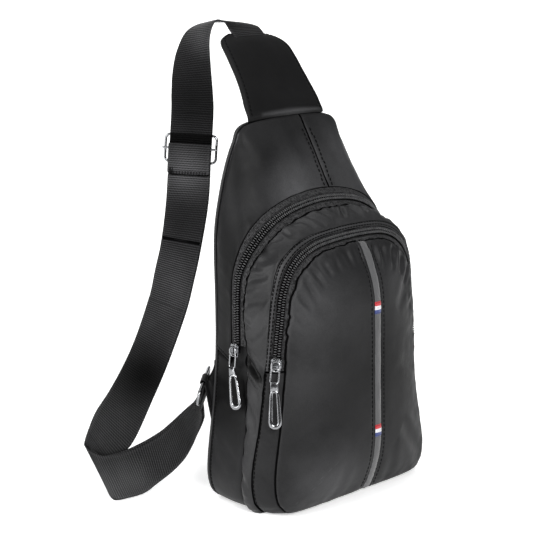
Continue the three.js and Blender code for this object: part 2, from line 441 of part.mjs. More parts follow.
// tri-glide on the straight stretch of the strap
const glide = webFrame(U_GLIDE + 0.12);
const gDown = edge(E1, 10).add(edge(E2, 10)).sub(edge(E1, 8)).sub(edge(E2, 8)).normalize();
const gW = glide.w.clone().addScaledVector(gDown, -glide.w.dot(gDown)).normalize();
const gFront = gDown.clone().cross(gW).normalize();             // away from the bag side of the strap
const gN = gFront.clone().negate();                             // face that carries the sewn ply
const gO = glide.m.clone();
const gM = frame(gO, gW, gDown.clone().negate(), gW.clone().cross(gDown.clone().negate()).normalize());
const gZ = gW.clone().cross(gDown.clone().negate()).normalize();
const sgn = gZ.dot(gN) > 0 ? 1 : -1;                            // local z that points to the sewn ply
const G = (geo) => geo.applyMatrix4(gM);
const FRAME_W = 49, FRAME_H = 27, WIRE = 2.4;
const frameZ = -sgn * (WEB_T / 2 + 0.45 + WIRE / 2);
const barZ = sgn * (WEB_T / 2 + 0.4 + WEB_T + 0.3 + 1.0);
{
  const f = wireFrame(FRAME_W, FRAME_H, 5, WIRE, WIRE, 3); f.translate(0, 0, frameZ);
  add('triglide_frame', G(f), M.metal);
  // centre bar: flat strip with a hook at each end that closes round the side wires
  let bar = box(FRAME_W + 1.5, 4.2, 2.0, 0, 0, barZ);
  for (const side of [-1, 1]) {
    const x = side * (FRAME_W / 2 - WIRE / 2), zTop = barZ, zBot = frameZ - sgn * (WIRE / 2 + 1.4);
    const hook = box(WIRE + 3.4, 4.2, Math.abs(zTop - zBot), x, 0, (zTop + zBot) / 2);
    const hole = box(WIRE + 0.8, 10, WIRE + 0.8, x, 0, frameZ);
    bar = bar.add(hook).subtract(hole);
  }
  add('triglide_bar', G(geometry(bar)), M.metal);
  // sewn end of the webbing, folded round the bar
  const s = new THREE.Shape(), R = 1.0 + 0.3, legs = 23, halfBar = 2.4;
  // section in the local y-z plane (drawn as x = y, y = z)
  const zi = R, zo = R + WEB_T;
  s.moveTo(-legs, zo); s.lineTo(halfBar, zo); s.absarc(halfBar, 0, zo, Math.PI / 2, -Math.PI / 2, true); s.lineTo(-legs, -zo); s.lineTo(-legs, -zi);
  s.lineTo(halfBar, -zi); s.absarc(halfBar, 0, zi, -Math.PI / 2, Math.PI / 2, false); s.lineTo(-legs, zi); s.closePath();
  const g = new THREE.ExtrudeGeometry(s, { depth: WEB_W, bevelEnabled: false, curveSegments: 6 });
  g.applyMatrix4(new THREE.Matrix4().makeBasis(V(0, 1, 0), V(0, 0, 1), V(1, 0, 0)).setPosition(V(-WEB_W / 2, 0, barZ)));
  // the stitching closes the two legs together below the bar
  const tail = box(WEB_W, 3, 2 * zi + 0.2, 0, -legs + 1.5, barZ);
  add('strap_sewn_loop', G(geometry(solid(g).add(tail))), M.webbing);
}
// sewn ply: from the loop down to the fold, then behind the running ply to the ring
const PLY_SIDE = webFrame(U_GLIDE).n.dot(gN) > 0 ? 1 : -1;
const loopOff = WEB_T / 2 + 0.4 + WEB_T / 2;
const offAt = (u) => PLY_SIDE * (PLY_PITCH + PLY_SPREAD * smooth(11, 13, u) * (1 - smooth(16, 17.8, u)));
const raiseAt = (u) => 5 * smooth(21.5, 25, u) * (1 - smooth(27.5, 30, u));
// station where the loop's tail ends
let uTail = U_GLIDE;
while (webFrame(uTail).m.clone().sub(gO).dot(gDown) < 23.6) uTail += 0.01;
function plyB(u0, u1) {
  const outer = [], inner = [];
  for (const u of stations(u0, u1)) {
    const f = webFrame(u), r = f.w.clone().normalize().multiplyScalar(raiseAt(u)), off = offAt(u);
    const A = f.a.clone().add(r), B = f.b.clone().add(r);
    outer.push([A.clone().addScaledVector(f.n, off + WEB_T / 2), B.clone().addScaledVector(f.n, off + WEB_T / 2)]);
    inner.push([A.clone().addScaledVector(f.n, off - WEB_T / 2), B.clone().addScaledVector(f.n, off - WEB_T / 2)]);
  }
  return shell(outer, inner);
}
add('strap_sewn_upper', plyB(uTail, 13), M.webbing);
add('strap_sewn_lower', plyB(13.02, U_INNER), M.webbing);
add('strap_lower_inner', plyB(U_INNER + 0.05, WEB_END), M.webbing);

// ---------------------------------------------------------------- ring and its tab
const barDir = V(15.4, 11.3, 5.9).normalize();                   // from the outer-left end to the rear end
const ringOut = V(-93.4, 53.4, 91.5);                           // middle of the bar that holds the webbing
const pull = V(0.06, 0.30, -0.95); pull.addScaledVector(barDir, -pull.dot(barDir)).normalize();
const ringN = barDir.clone().cross(pull).normalize();
const RING_W = 47, RING_H = 17, RWIRE = 3.0;
const ringIn = ringOut.clone().addScaledVector(pull, -(RING_H - RWIRE));
const ringC = ringOut.clone().add(ringIn).multiplyScalar(0.5);
const rM = frame(ringC, barDir, pull, ringN);
add('strap_ring', wireFrame(RING_W, RING_H, 4.5, RWIRE, RWIRE, 3).applyMatrix4(rM), M.metal);
{
  // webbing turned round the outer bar
  const s = new THREE.Shape(), zi = RWIRE / 2 + 0.5, zo = zi + WEB_T, legs = 6;
  s.moveTo(legs, zo); s.lineTo(0, zo); s.absarc(0, 0, zo, Math.PI / 2, 1.5 * Math.PI, false); s.lineTo(legs, -zo); s.lineTo(legs, -zi);
  s.lineTo(0, -zi); s.absarc(0, 0, zi, 1.5 * Math.PI, Math.PI / 2, true); s.lineTo(legs, zi); s.closePath();
  const g = new THREE.ExtrudeGeometry(s, { depth: WEB_W, bevelEnabled: false, curveSegments: 6 });
  // drawn x = along the pull, y = ring normal, depth = along the bar
  g.applyMatrix4(new THREE.Matrix4().makeBasis(pull, ringN, pull.clone().cross(ringN)));
  const dirZ = pull.clone().cross(ringN);
  g.applyMatrix4(T(...ringOut.clone().addScaledVector(dirZ, -WEB_W / 2).toArray()));
  add('strap_ring_turn', g, M.webbing);
}
{
  // fabric tab: a sleeve round the inner bar and a fin sewn into the rear corner seam
  const s = new THREE.Shape(); s.absarc(0, 0, 4.0, 0, 2 * Math.PI, false);
  const h = new THREE.Path(); h.absarc(0, 0, RWIRE / 2 * 1.4143 + 0.25, 0, 2 * Math.PI, false); s.holes.push(h);
  const g = new THREE.ExtrudeGeometry(s, { depth: 22, bevelEnabled: false, curveSegments: 8 });
  g.applyMatrix4(new THREE.Matrix4().makeBasis(pull, ringN, pull.clone().cross(ringN)).setPosition(ringIn.clone().addScaledVector(pull.clone().cross(ringN), -11)));
  const bore = new THREE.CylinderGeometry(RWIRE / 2 * 1.4143 + 0.25, RWIRE / 2 * 1.4143 + 0.25, 60, 16);
  bore.applyMatrix4(new THREE.Matrix4().makeBasis(pull, barDir, ringN.clone().negate()).setPosition(ringIn));
  const fin = new THREE.Shape();
  fin.moveTo(0, 60); fin.lineTo(2.6, 78); fin.lineTo(4.0, 94); fin.lineTo(9, 99); fin.lineTo(9, 108); fin.lineTo(0, 118); fin.closePath();
  const f = new THREE.ExtrudeGeometry(fin, { depth: 2.4, bevelEnabled: false });
  const diag = V(-Math.SQRT1_2, Math.SQRT1_2, 0), across = V(Math.SQRT1_2, Math.SQRT1_2, 0);
  // foot of the fin follows the corner
  f.applyMatrix4(new THREE.Matrix4().makeBasis(diag, V(0, 0, 1), diag.clone().cross(V(0, 0, 1))).setPosition(V(0, 0, 0)));
  f.applyMatrix4(T(-91.9, 44.3, 0)); f.translate(...diag.clone().cross(V(0, 0, 1)).multiplyScalar(-1.2).toArray());
  const body = solid(g).add(solid(f)).subtract(solid(bore));
  add('strap_tab', geometry(body), M.shell);
}

// ---------------------------------------------------------------- sliders and pulls
function sliderSet(prefix, origin, up, out, swing) {
  // local frame: x across the zip, y up along it, z out of the bag
  const z = out.clone().addScaledVector(up, -out.dot(up)).normalize(), x = up.clone().cross(z).normalize();
  const m = frame(origin, x, up, z);
  const base = GAP + TOOTH_H + 0.9;
  // body: top plate, two flanges beside the teeth, and the bridge that holds the link
  const plateShape = new THREE.Shape();
  plateShape.moveTo(-4.9, 0); plateShape.lineTo(-5.3, -3.5); plateShape.lineTo(-3.4, -10.5); plateShape.lineTo(3.4, -10.5); plateShape.lineTo(5.3, -3.5); plateShape.lineTo(4.9, 0); plateShape.closePath();
  const pg = new THREE.ExtrudeGeometry(plateShape, { depth: 1.2, bevelEnabled: false }); pg.translate(0, 0, base);
  let body = solid(pg);
  for (const side of [-1, 1]) body = body.add(box(1.0, 3.2, base - 0.8 + 0.6, side * 4.6, -2.2, 0.8 + (base - 0.8 + 0.6) / 2));
  const bridge = new THREE.Shape();
  bridge.moveTo(-9.8, 0); bridge.lineTo(-9.8, 2.8); bridge.quadraticCurveTo(-9.6, 4.2, -8.2, 4.2); bridge.lineTo(-2.6, 4.2); bridge.quadraticCurveTo(-1.2, 4.2, -1.0, 2.8); bridge.lineTo(-1.0, 0); bridge.closePath();
  const hole = new THREE.Path(); hole.moveTo(-8.5, 0.5); hole.lineTo(-2.4, 0.5); hole.lineTo(-2.4, 3.0); hole.lineTo(-8.5, 3.0); hole.closePath(); bridge.holes.push(hole);
  const bg = new THREE.ExtrudeGeometry(bridge, { depth: 2.2, bevelEnabled: false, curveSegments: 4 });
  bg.applyMatrix4(new THREE.Matrix4().makeBasis(V(0, 1, 0), V(0, 0, 1), V(1, 0, 0)).setPosition(V(-1.1, 0, base + 0.9)));
  body = body.add(solid(bg));
  add(prefix + '_slider', geometry(body).applyMatrix4(m), M.metal);
  // link: an open ring hooked under the bridge
  const pivot = V(0, -8.5 + 1.15, base + 0.9 + 0.5 + 1.25);           // where the link bears on the bridge
  const rot = new THREE.Matrix4().makeTranslation(pivot.x, pivot.y, pivot.z).multiply(new THREE.Matrix4().makeRotationX(swing));
  const link = wireFrame(8.4, LINK_H, 2.8, LINK_WIRE, LINK_WIRE, 2);
  link.translate(0, -(LINK_H - LINK_WIRE) / 2, 0);
  link.applyMatrix4(rot);
  add(prefix + '_link', link.applyMatrix4(m), M.metal);
  // pull: eye at the top, long slot below
  const eye = V(0, -(LINK_H - LINK_WIRE), 0).applyMatrix4(rot);
  return { m, eye, rot, pivot };
}
function pullTab(prefix, set, swing) {
  const s = new THREE.Shape();
  s.moveTo(-1.6, -0.9); s.lineTo(1.6, -0.9); s.lineTo(2.3, -5.0); s.quadraticCurveTo(3.9, -6.6, 4.1, -9.4); s.lineTo(5.0, -30); s.quadraticCurveTo(5.2, -38.6, 0, -38.8);
  s.quadraticCurveTo(-5.2, -38.6, -5.0, -30); s.lineTo(-4.1, -9.4); s.quadraticCurveTo(-3.9, -6.6, -2.3, -5.0); s.closePath();
  const slot = new THREE.Shape(); slot.moveTo(-1.5, -11); slot.quadraticCurveTo(0, -8.6, 1.5, -11); slot.lineTo(2.2, -31); slot.quadraticCurveTo(2.3, -35, 0, -35.2); slot.quadraticCurveTo(-2.3, -35, -2.2, -31); slot.closePath();
  const R = new THREE.Matrix4().makeTranslation(set.eye.x, set.eye.y, set.eye.z).multiply(new THREE.Matrix4().makeRotationX(swing));
  const cut = new THREE.ExtrudeGeometry(slot, { depth: 6, bevelEnabled: false, curveSegments: 3 }); cut.translate(0, 0, -3);
  const rod = (r, l) => solid(new THREE.CylinderGeometry(r, r, l, 14).rotateZ(Math.PI / 2));
  // the lug is bored along X for the link's lower bar
  const body = solid(plate(s, 1.9, 0.35, 3)).add(rod(LUG_R, 3.2)).subtract(solid(cut)).subtract(rod(EYE_R, 12));
  add(prefix + '_pull', geometry(body).applyMatrix4(R).applyMatrix4(set.m), M.metal);
}
const mainUp = V(0.012, 0, 1).normalize();
const mainSet = sliderSet('main', V(-91.55, 8, 143.6), mainUp, V(-1, 0, 0), -0.10);
pullTab('main', mainSet, -0.06);
const frontUp = V(0.118, -0.0155, 0.993).normalize();
const frontSet = sliderSet('front', V(-85.45, -34.2, 137.4), frontUp, V(-0.73, -0.68, 0), -0.10);
pullTab('front', frontSet, -0.04);

export default bag;
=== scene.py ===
"""Black one-shoulder sling bag: cloth, webbing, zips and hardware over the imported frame."""
import bpy
import bmesh
import math
import numpy as np
from mathutils import Matrix, Vector


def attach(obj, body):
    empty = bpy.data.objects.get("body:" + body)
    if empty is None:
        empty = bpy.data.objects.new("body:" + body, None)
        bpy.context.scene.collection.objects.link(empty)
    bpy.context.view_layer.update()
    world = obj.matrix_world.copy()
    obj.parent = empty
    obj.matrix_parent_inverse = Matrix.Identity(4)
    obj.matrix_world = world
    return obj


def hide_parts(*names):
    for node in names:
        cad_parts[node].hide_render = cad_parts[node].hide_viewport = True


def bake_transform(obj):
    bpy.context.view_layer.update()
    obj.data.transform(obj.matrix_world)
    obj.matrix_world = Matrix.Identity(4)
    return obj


bpy.context.scene.view_settings.view_transform = "Standard"
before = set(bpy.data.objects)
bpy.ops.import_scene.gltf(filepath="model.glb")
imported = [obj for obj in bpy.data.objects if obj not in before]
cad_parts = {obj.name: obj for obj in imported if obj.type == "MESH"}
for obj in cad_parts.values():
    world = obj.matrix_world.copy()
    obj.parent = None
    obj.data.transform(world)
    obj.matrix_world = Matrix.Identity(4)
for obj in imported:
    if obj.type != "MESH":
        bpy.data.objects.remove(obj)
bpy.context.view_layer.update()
LIFT = 4.0                      # the seam tables are drawn with the floor at z = -LIFT

# ---------------------------------------------------------------- camera
def look(pos, fwd, right, up, lens):
    cam = bpy.data.cameras.new("camera")
    cam.sensor_width = 36.0
    cam.lens = lens
    cam.clip_start = 0.01
    ob = bpy.data.objects.new("camera", cam)
    bpy.context.scene.collection.objects.link(ob)
    m = Matrix.Identity(4)
    for k in range(3):
        m[k][0], m[k][1], m[k][2], m[k][3] = right[k], up[k], -fwd[k], pos[k] / 1000.0
    ob.matrix_world = m
    bpy.context.scene.camera = ob
    return ob

_f = Vector((0.66583, 0.71402, -0.21644)).normalized()
_r = Vector((0.72867, -0.68466, -0.01704)); _r = (_r - _f * _r.dot(_f)).normalized()
_u = _r.cross(_f).normalized()
look((-976.06, -978.92, 509.14), _f, _r, _u, 108.07)

# ---------------------------------------------------------------- seam lines (mm)
REAR = [[0,41,-4],[74,41,-4],[91.5,42,1],[98.5,42.5,16],[98,42,38],[92,41,78],[87.5,41,118],[86,41,143], [85.5,40.5,180],[85.5,40,217],[84,39.5,241],[79,39,265],[71.5,38,290],[62,37,311],[50,35.5,326],[0,34.5,329.5]]
SIDE = [[0,-4,-4],[76,-4,-4],[94,-4,2],[100.5,-4,17],[100.5,-4.5,40],[96,-5,78],[93,-5,118],[91.5,-1.5,143], [91,0,172],[89.5,-1,200],[83.5,-4,216],[73,-5.5,228],[60,-6.5,238],[45,-7,245],[26,-7.3,250],[0,-7.5,252.5]]
MAIN_TEETH = { 7:[91.5,8,143],8:[91.3,8,172],9:[90.6,7,201],10:[87,3,218],11:[77,1,232],12:[64,0,243],13:[48,0,251],14:[28,0,256],15:[0,0,258.5] }
MAIN_REAR = { 7:[91,16,143],8:[91,16,172],9:[90.5,14.5,203],10:[88.5,10,223],11:[80,8,239],12:[66,7.5,251],13:[49,7,259],14:[28,7,264.5],15:[0,7,267] }
MIDDLE = [[0,-17,-4],[76,-17,-4],[94,-17,2],[101,-17.5,17],[101,-18,40],[96,-22,78],[92.5,-27,127],[90.5,-28,146], [88.5,-29,172],[85,-29.5,198],[78,-29,216],[67,-28.5,226.5],[55,-28,232.5],[40,-27.5,236],[21,-27.3,237.5],[0,-27,238]]
FRONT_TEETH = { 6:[86.5,-34,127],7:[84.3,-34.4,146],8:[81.5,-35,170],9:[78.9,-35.3,191],10:[71.5,-35,209],11:[61.5,-34.5,219],12:[50,-34,225],13:[37,-33.5,228.5],14:[20,-33.2,230],15:[0,-33,230.5] }
PANEL = [[0,-42,-1],[71,-42,-0.5],[88,-41,7],[93,-40,20],[92,-39,40],[85,-39,80],[79.5,-40,127],[78,-41,145], [75.5,-41.5,167],[71.5,-41.5,188],[65,-41,202],[56,-40.5,211],[46,-40,217],[34,-39,221],[19,-38.7,222.5],[0,-38.5,223]]
PAD = [[34.2, 331, 46.5, 0], [44, 347.5, 44, 2.5], [56, 364.8, 42, 2.4], [68, 381.5, 40.8, 2], [77, 391.5, 39, 2], [83.5, 397, 33, 1.6], [88, 400.3, 22, 1.2]]
ENDS = [([18.4, 94.0, 403.9], [-19.4, 91.0, 405.1]),
        ([14.2, 100.0, 406.0], [-22.2, 90.0, 408.0]),
        ([3.5, 110.0, 408.0], [-27.5, 88.0, 411.2]),
        ([-16.5, 123.8, 408.2], [-34.5, 90.2, 412.4]),
        ([-32.4, 131.9, 401.4], [-37.5, 93.7, 405.5]),
        ([-43.6, 133.8, 384.6], [-37.4, 97.2, 392.4]),
        ([-50.5, 132.8, 366.0], [-35.5, 98.2, 370.0]),
        ([-55.0, 129.9, 346.6], [-33.4, 98.7, 347.4]),
        ([-57.4, 127.9, 331.0], [-33.8, 98.1, 329.0]),
        ([-63.6, 125.7, 291.5], [-40.0, 95.9, 289.5]),
        ([-69.8, 123.5, 252.0], [-46.2, 93.7, 250.0]),
        ([-75.1, 125.5, 214.1], [-58.7, 91.5, 209.3]),
        ([-80.7, 128.1, 189.4], [-64.9, 94.7, 180.6]),
        ([-86.6, 131.6, 161.9], [-73.3, 97.4, 152.0]),
        ([-105.7, 134.4, 120.1], [-95.3, 100.8, 105.0]),
        ([-136.1, 130.0, 88.4], [-113.4, 110.0, 63.2]),
        ([-154.6, 128.0, 72.1], [-129.8, 112.0, 39.3]),
        ([-163.8, 127.5, 58.6], [-147.1, 114.0, 25.5]),
        ([-169.5, 127.5, 46.8], [-155.5, 113.0, 4.6]),
        ([-170.4, 125.0, 43.4], [-159.0, 108.0, -0.1]),
        ([-168.2, 121.0, 39.3], [-158.9, 102.5, -3.6]),
        ([-165.6, 115.0, 36.7], [-158.2, 97.0, -3.0]),
        ([-159.2, 110.5, 34.9], [-151.5, 93.0, -2.2]),
        ([-139.7, 106.0, 34.4], [-134.5, 89.5, -0.9]),
        ([-118.3, 103.0, 37.9], [-123.9, 82.0, 7.9]),
        ([-105.3, 99.0, 43.2], [-111.9, 75.0, 17.6]),
        ([-95.5, 94.0, 51.6], [-103.8, 68.0, 28.9]),
        ([-86.5, 91.4, 59.4], [-100.4, 61.4, 41.5]),
        ([-82.4, 83.1, 69.2], [-100.3, 53.1, 56.0]),
        ([-79.4, 76.0, 79.0], [-100.6, 47.2, 69.4]),
        ([-78.0, 70.5, 90.0], [-102.2, 43.0, 81.2])]

ARCH_SHIFT, ARCH_TILT = 3.0, 0.02
STRIPE_X, STRIPE_HALF, SEAM_X = 14.0, 3.8, 11.5
CROWN_Y = -59.0
WALL_Y = 43 - 1.4 - 0.3 - 3.6 - 0.3


def smooth(a, b, x):
    t = np.clip((np.asarray(x, float) - a) / (b - a), 0, 1)
    return t * t * (3 - 2 * t)


def cubic(p0, p1, p2, p3, t):
    return 0.5 * (2 * p1 + (p2 - p0) * t + (2 * p0 - 5 * p1 + 4 * p2 - p3) * t * t + (3 * p1 - p0 - 3 * p2 + p3) * t ** 3)


def line(keys, arch=True):
    if isinstance(keys, list):
        keys = dict(enumerate(keys))
    lo = min(keys)
    full = {}
    for i in range(lo, 16):
        full[i] = np.array(keys[i], float)
    for i in (16, 17):
        k = full[30 - i]; full[i] = np.array([-k[0], k[1], k[2]])
    for i in (lo - 1, lo - 2):
        if lo == 0:
            k = full[-i]; full[i] = np.array([-k[0], k[1], k[2]])
        else:
            full[i] = 2 * full[lo] - full[lo + (lo - i)]

    def fn(s):
        s = np.asarray(s, float)
        i = 15 - np.abs(s)
        k = np.minimum(np.floor(i), 14).astype(int); k = np.maximum(k, lo)
        t = (i - k)[..., None]
        g = lambda d: np.array([full[int(q) + d] for q in k.ravel()]).reshape(k.shape + (3,))
        c = cubic(g(-1), g(0), g(1), g(2), t)
        w = smooth(7, 15, i) if arch else 0 * i
        u = smooth(7, 11, i) if arch else 0 * i
        x = np.where(s > 0, 1.0, -1.0) * c[..., 0]
        return np.stack([x + ARCH_SHIFT * w, c[..., 1], np.maximum(c[..., 2], -LIFT) + ARCH_TILT * x * u], -1)
    return fn


L_rear, L_side, L_mteeth, L_mrear = line(REAR, False), line(SIDE), line(MAIN_TEETH), line(MAIN_REAR)
L_mid, L_fteeth, L_panel = line(MIDDLE), line(FRONT_TEETH), line(PANEL)


def L_rearedge(s):
    p = L_rear(s); p[..., 1] = np.minimum(p[..., 1], WALL_Y + 3.0); return p


def L_sidestraight(s):
    p = L_side(s); i = 15 - np.abs(np.asarray(s, float)); p[..., 1] = np.where(i > 7, np.maximum(p[..., 1], -1.5), p[..., 1]); return p


def lerp_line(a, b, mm):
    def fn(s):
        p, q = a(s), b(s); d = q - p
        return p + d / np.linalg.norm(d, axis=-1, keepdims=True) * mm
    return fn


def mix_line(a, b, k):
    return lambda s: a(s) * (1 - k) + b(s) * k


# ---------------------------------------------------------------- numbers
def unit(v):
    return v / np.maximum(np.linalg.norm(v, axis=-1, keepdims=True), 1e-9)


def vnoise(p, seed=0):
    p = np.asarray(p, float)
    i = np.floor(p).astype(np.int64); f = p - i; f = f * f * (3 - 2 * f)

    def h(dx, dy, dz):
        n = (i[..., 0] + dx) * 374761393 + (i[..., 1] + dy) * 668265263 + (i[..., 2] + dz) * 1442695041 + seed * 1013904223
        n = n & 0x7fffffff
        n = ((n ^ (n >> 13)) * 1274126177) & 0x7fffffff
        n = n ^ (n >> 16)
        return (n & 0xffff) / 32767.5 - 1
    x, y, z = f[..., 0], f[..., 1], f[..., 2]
    l = lambda a, b, t: a + (b - a) * t
    return l(l(l(h(0, 0, 0), h(1, 0, 0), x), l(h(0, 1, 0), h(1, 1, 0), x), y),
             l(l(h(0, 0, 1), h(1, 0, 1), x), l(h(0, 1, 1), h(1, 1, 1), x), y), z)


def fbm(p, seed=0, octaves=3):
    p = np.asarray(p, float); r = 0; a = 1.0
    for k in range(octaves):
        r = r + a * vnoise(p * 2 ** k + 17.3 * k, seed + k); a *= 0.5
    return r / 1.75


def grid_normals(P, loop=False):
    if loop:
        dS = np.roll(P, -1, 0) - np.roll(P, 1, 0)
    else:
        dS = np.gradient(P, axis=0)
    dV = np.gradient(P, axis=1)
    return unit(np.cross(dV, dS))


def crease(P, a, b, depth, width, ridge=0.5, taper=True):
    """Signed height of a fold that runs from a to b (mm), with a small rise on each side."""
    a, b = np.array(a, float), np.array(b, float)
    d = b - a; ll = d @ d
    t = np.clip(((P - a) @ d) / ll, -0.15, 1.15)
    q = P - (a + t[..., None] * d)
    r = np.linalg.norm(q, axis=-1) / width
    e = np.sin(np.clip((t + 0.15) / 1.3, 0, 1) * math.pi) ** 0.7 if taper else 1.0
    return e * depth * (-np.exp(-r * r) + ridge * np.exp(-(r - 1.7) ** 2 * 1.4))


# ---------------------------------------------------------------- mesh helpers
COL = bpy.context.scene.collection


def make_mesh(name, verts_mm, faces, material, smooth_shade=True, uv=None):
    V = np.asarray(verts_mm, float).copy()
    V[:, 2] += LIFT
    V /= 1000.0
    me = bpy.data.meshes.new(name)
    me.from_pydata(V.tolist(), [], [tuple(int(i) for i in f) for f in faces])
    if uv is not None:
        lay = me.uv_layers.new(name="along")
        idx = np.zeros(len(me.loops), dtype=np.int32)
        me.loops.foreach_get("vertex_index", idx)
        lay.data.foreach_set("uv", np.asarray(uv, float)[idx].ravel())
    if smooth_shade:
        me.polygons.foreach_set("use_smooth", [True] * len(me.polygons))
    me.update()
    ob = bpy.data.objects.new(name, me)
    COL.objects.link(ob)
    if material:
        me.materials.append(material)
    return ob


def fix_normals(ob):
    bm = bmesh.new(); bm.from_mesh(ob.data)
    bmesh.ops.recalc_face_normals(bm, faces=bm.faces)
    bm.to_mesh(ob.data); bm.free(); ob.data.update()


def thick_grid(name, P, N, t, material, loop=False, uv=None, edge_round=True):
    """A closed cloth of thickness t (mm) whose outer face is the grid P."""
    n, m = P.shape[:2]
    inner = P - N * t
    V = np.concatenate([P.reshape(-1, 3), inner.reshape(-1, 3)])
    F = []
    cols = n if loop else n - 1
    i = np.arange(cols); k = (i + 1) % n; j = np.arange(m - 1)
    I, J = np.meshgrid(i, j, indexing="ij"); K = np.broadcast_to(k[:, None], I.shape)
    a, b, c, d = I * m + J, K * m + J, K * m + J + 1, I * m + J + 1
    o = n * m
    F += np.stack([a, d, c, b], -1).reshape(-1, 4).tolist()
    F += np.stack([a + o, b + o, c + o, d + o], -1).reshape(-1, 4).tolist()
    for q, flip in ((0, False), (m - 1, True)):
        e = np.stack([i * m + q, k * m + q, k * m + q + o, i * m + q + o], -1)
        F += (e[:, ::-1] if flip else e).tolist()
    if not loop:
        for q, flip in ((0, True), (n - 1, False)):
            e = np.stack([q * m + j, q * m + j + 1, q * m + j + 1 + o, q * m + j + o], -1)
            F += (e[:, ::-1] if flip else e).tolist()
    U = None
    if uv is not None:
        U = np.concatenate([uv.reshape(-1, 2), uv.reshape(-1, 2)])
    ob = make_mesh(name, V, F, material, uv=U)
    fix_normals(ob)
    return ob


def finish_piece(ob, body, replaces=(), level=0, bevel=0.0):
    if bevel:
        b = ob.modifiers.new("soft_edge", "BEVEL"); b.width = bevel / 1000; b.segments = 2; b.limit_method = "ANGLE"; b.angle_limit = math.radians(35)
    if level:
        s = ob.modifiers.new("subdivision", "SUBSURF"); s.levels = level; s.render_levels = level
    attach(ob, body)
    if replaces:
        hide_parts(*replaces)
    return ob


def sweep(name, pts, radius, material, closed=True, sides=12, flat=None, normal=None):
    """Wire of round (or flattened) section along pts (mm)."""
    P = np.asarray(pts, float); n = len(P)
    T = unit(np.roll(P, -1, 0) - np.roll(P, 1, 0)) if closed else unit(np.gradient(P, axis=0))
    if normal is not None:
        Nn = np.broadcast_to(np.asarray(normal, float), P.shape)
        Nn = unit(Nn - T * (Nn * T).sum(-1, keepdims=True))
    else:
        Nn = np.zeros_like(P); v = np.array([0.3, 0.5, 0.81])
        for q in range(n):
            v = v - T[q] * (v @ T[q]); v = v / np.linalg.norm(v); Nn[q] = v
    B = np.cross(T, Nn)
    ra, rb = (radius, radius) if flat is None else (radius, flat)
    ang = np.linspace(0, 2 * math.pi, sides, endpoint=False)
    ra = np.broadcast_to(ra, (n,)); rb = np.broadcast_to(rb, (n,))
    ring = P[:, None] + Nn[:, None] * (ra[:, None] * np.cos(ang))[..., None] + B[:, None] * (rb[:, None] * np.sin(ang))[..., None]
    V = ring.reshape(-1, 3); F = []
    for q in range(n if closed else n - 1):
        w = (q + 1) % n
        for k in range(sides):
            l = (k + 1) % sides
            F.append((q * sides + k, q * sides + l, w * sides + l, w * sides + k))
    if not closed:
        F.append(tuple(range(sides))[::-1]); F.append(tuple((n - 1) * sides + k for k in range(sides)))
    ob = make_mesh(name, V, F, material)
    fix_normals(ob)
    return ob


def rounded_rect(w, h, r, seg=8, straight=10):
    pts = []
    corners = [(w / 2 - r, h / 2 - r, 0), (-w / 2 + r, h / 2 - r, 90), (-w / 2 + r, -h / 2 + r, 180), (w / 2 - r, -h / 2 + r, 270)]
    for cx, cy, a0 in corners:
        for k in range(seg + 1):
            a = math.radians(a0 + 90 * k / seg)
            pts.append((cx + r * math.cos(a), cy + r * math.sin(a)))
    out = []
    for a, b in zip(pts, pts[1:] + pts[:1]):
        d = math.hypot(b[0] - a[0], b[1] - a[1]); c = max(1, int(d / 2.0))
        for k in range(c):
            out.append((a[0] + (b[0] - a[0]) * k / c, a[1] + (b[1] - a[1]) * k / c))
    return np.array(out)


def resample(P, step, closed=False, N=None):
    P = np.asarray(P, float)
    if closed:
        P = np.vstack([P, P[:1]])
        if N is not None: N = np.vstack([N, N[:1]])
    d = np.linalg.norm(np.diff(P, axis=0), axis=1); a = np.concatenate([[0], np.cumsum(d)])
    n = max(2, int(round(a[-1] / step)))
    q = (np.arange(n) + 0.5) * a[-1] / n
    R = np.stack([np.interp(q, a, P[:, k]) for k in range(3)], -1)
    T = unit(np.stack([np.interp(np.minimum(q + 0.3, a[-1]), a, P[:, k]) - np.interp(np.maximum(q - 0.3, 0), a, P[:, k]) for k in range(3)], -1))
    if N is None:
        return R, T
    M = unit(np.stack([np.interp(q, a, N[:, k]) for k in range(3)], -1))
    return R, T, M


def capsules(name, C, T, N, length, width, height, material, jitter=0.0):
    """Small rounded bars: one mesh. C centres, T directions, N normals."""
    C, T, N = np.asarray(C), unit(np.asarray(T)), np.asarray(N)
    N = unit(N - T * (N * T).sum(-1, keepdims=True)); B = np.cross(N, T)
    sec = []
    prof = [(-0.5, 0.35), (-0.36, 0.85), (0, 1.0), (0.36, 0.85), (0.5, 0.35)]
    S = 6
    for x, r in prof:
        for k in range(S):
            a = 2 * math.pi * k / S
            sec.append((x * length, math.cos(a) * r * width / 2, math.sin(a) * r * height / 2))
    sec = np.array(sec); nv = len(sec)
    V = C[:, None] + T[:, None] * sec[None, :, 0:1] + B[:, None] * sec[None, :, 1:2] + N[:, None] * sec[None, :, 2:3]
    f = []
    for q in range(len(prof) - 1):
        for k in range(S):
            l = (k + 1) % S
            f.append((q * S + k, q * S + l, (q + 1) * S + l, (q + 1) * S + k))
    f4 = np.array(f); caps = [tuple(range(S))[::-1], tuple((len(prof) - 1) * S + k for k in range(S))]
    F = (f4[None] + (np.arange(len(C)) * nv)[:, None, None]).reshape(-1, 4).tolist()
    for q in range(len(C)):
        F += [tuple(v + q * nv for v in c) for c in caps]
    ob = make_mesh(name, V.reshape(-1, 3), F, material)
    return ob


STITCHES = {}


def stitch(group, P, N, pitch=3.4, length=2.5, lift=0.05):
    """Adds a run of stitches along P (mm) with normals N to a group."""
    R, T, M = resample(P, pitch, N=N)
    STITCHES.setdefault(group, []).append((R + M * lift, T, M))


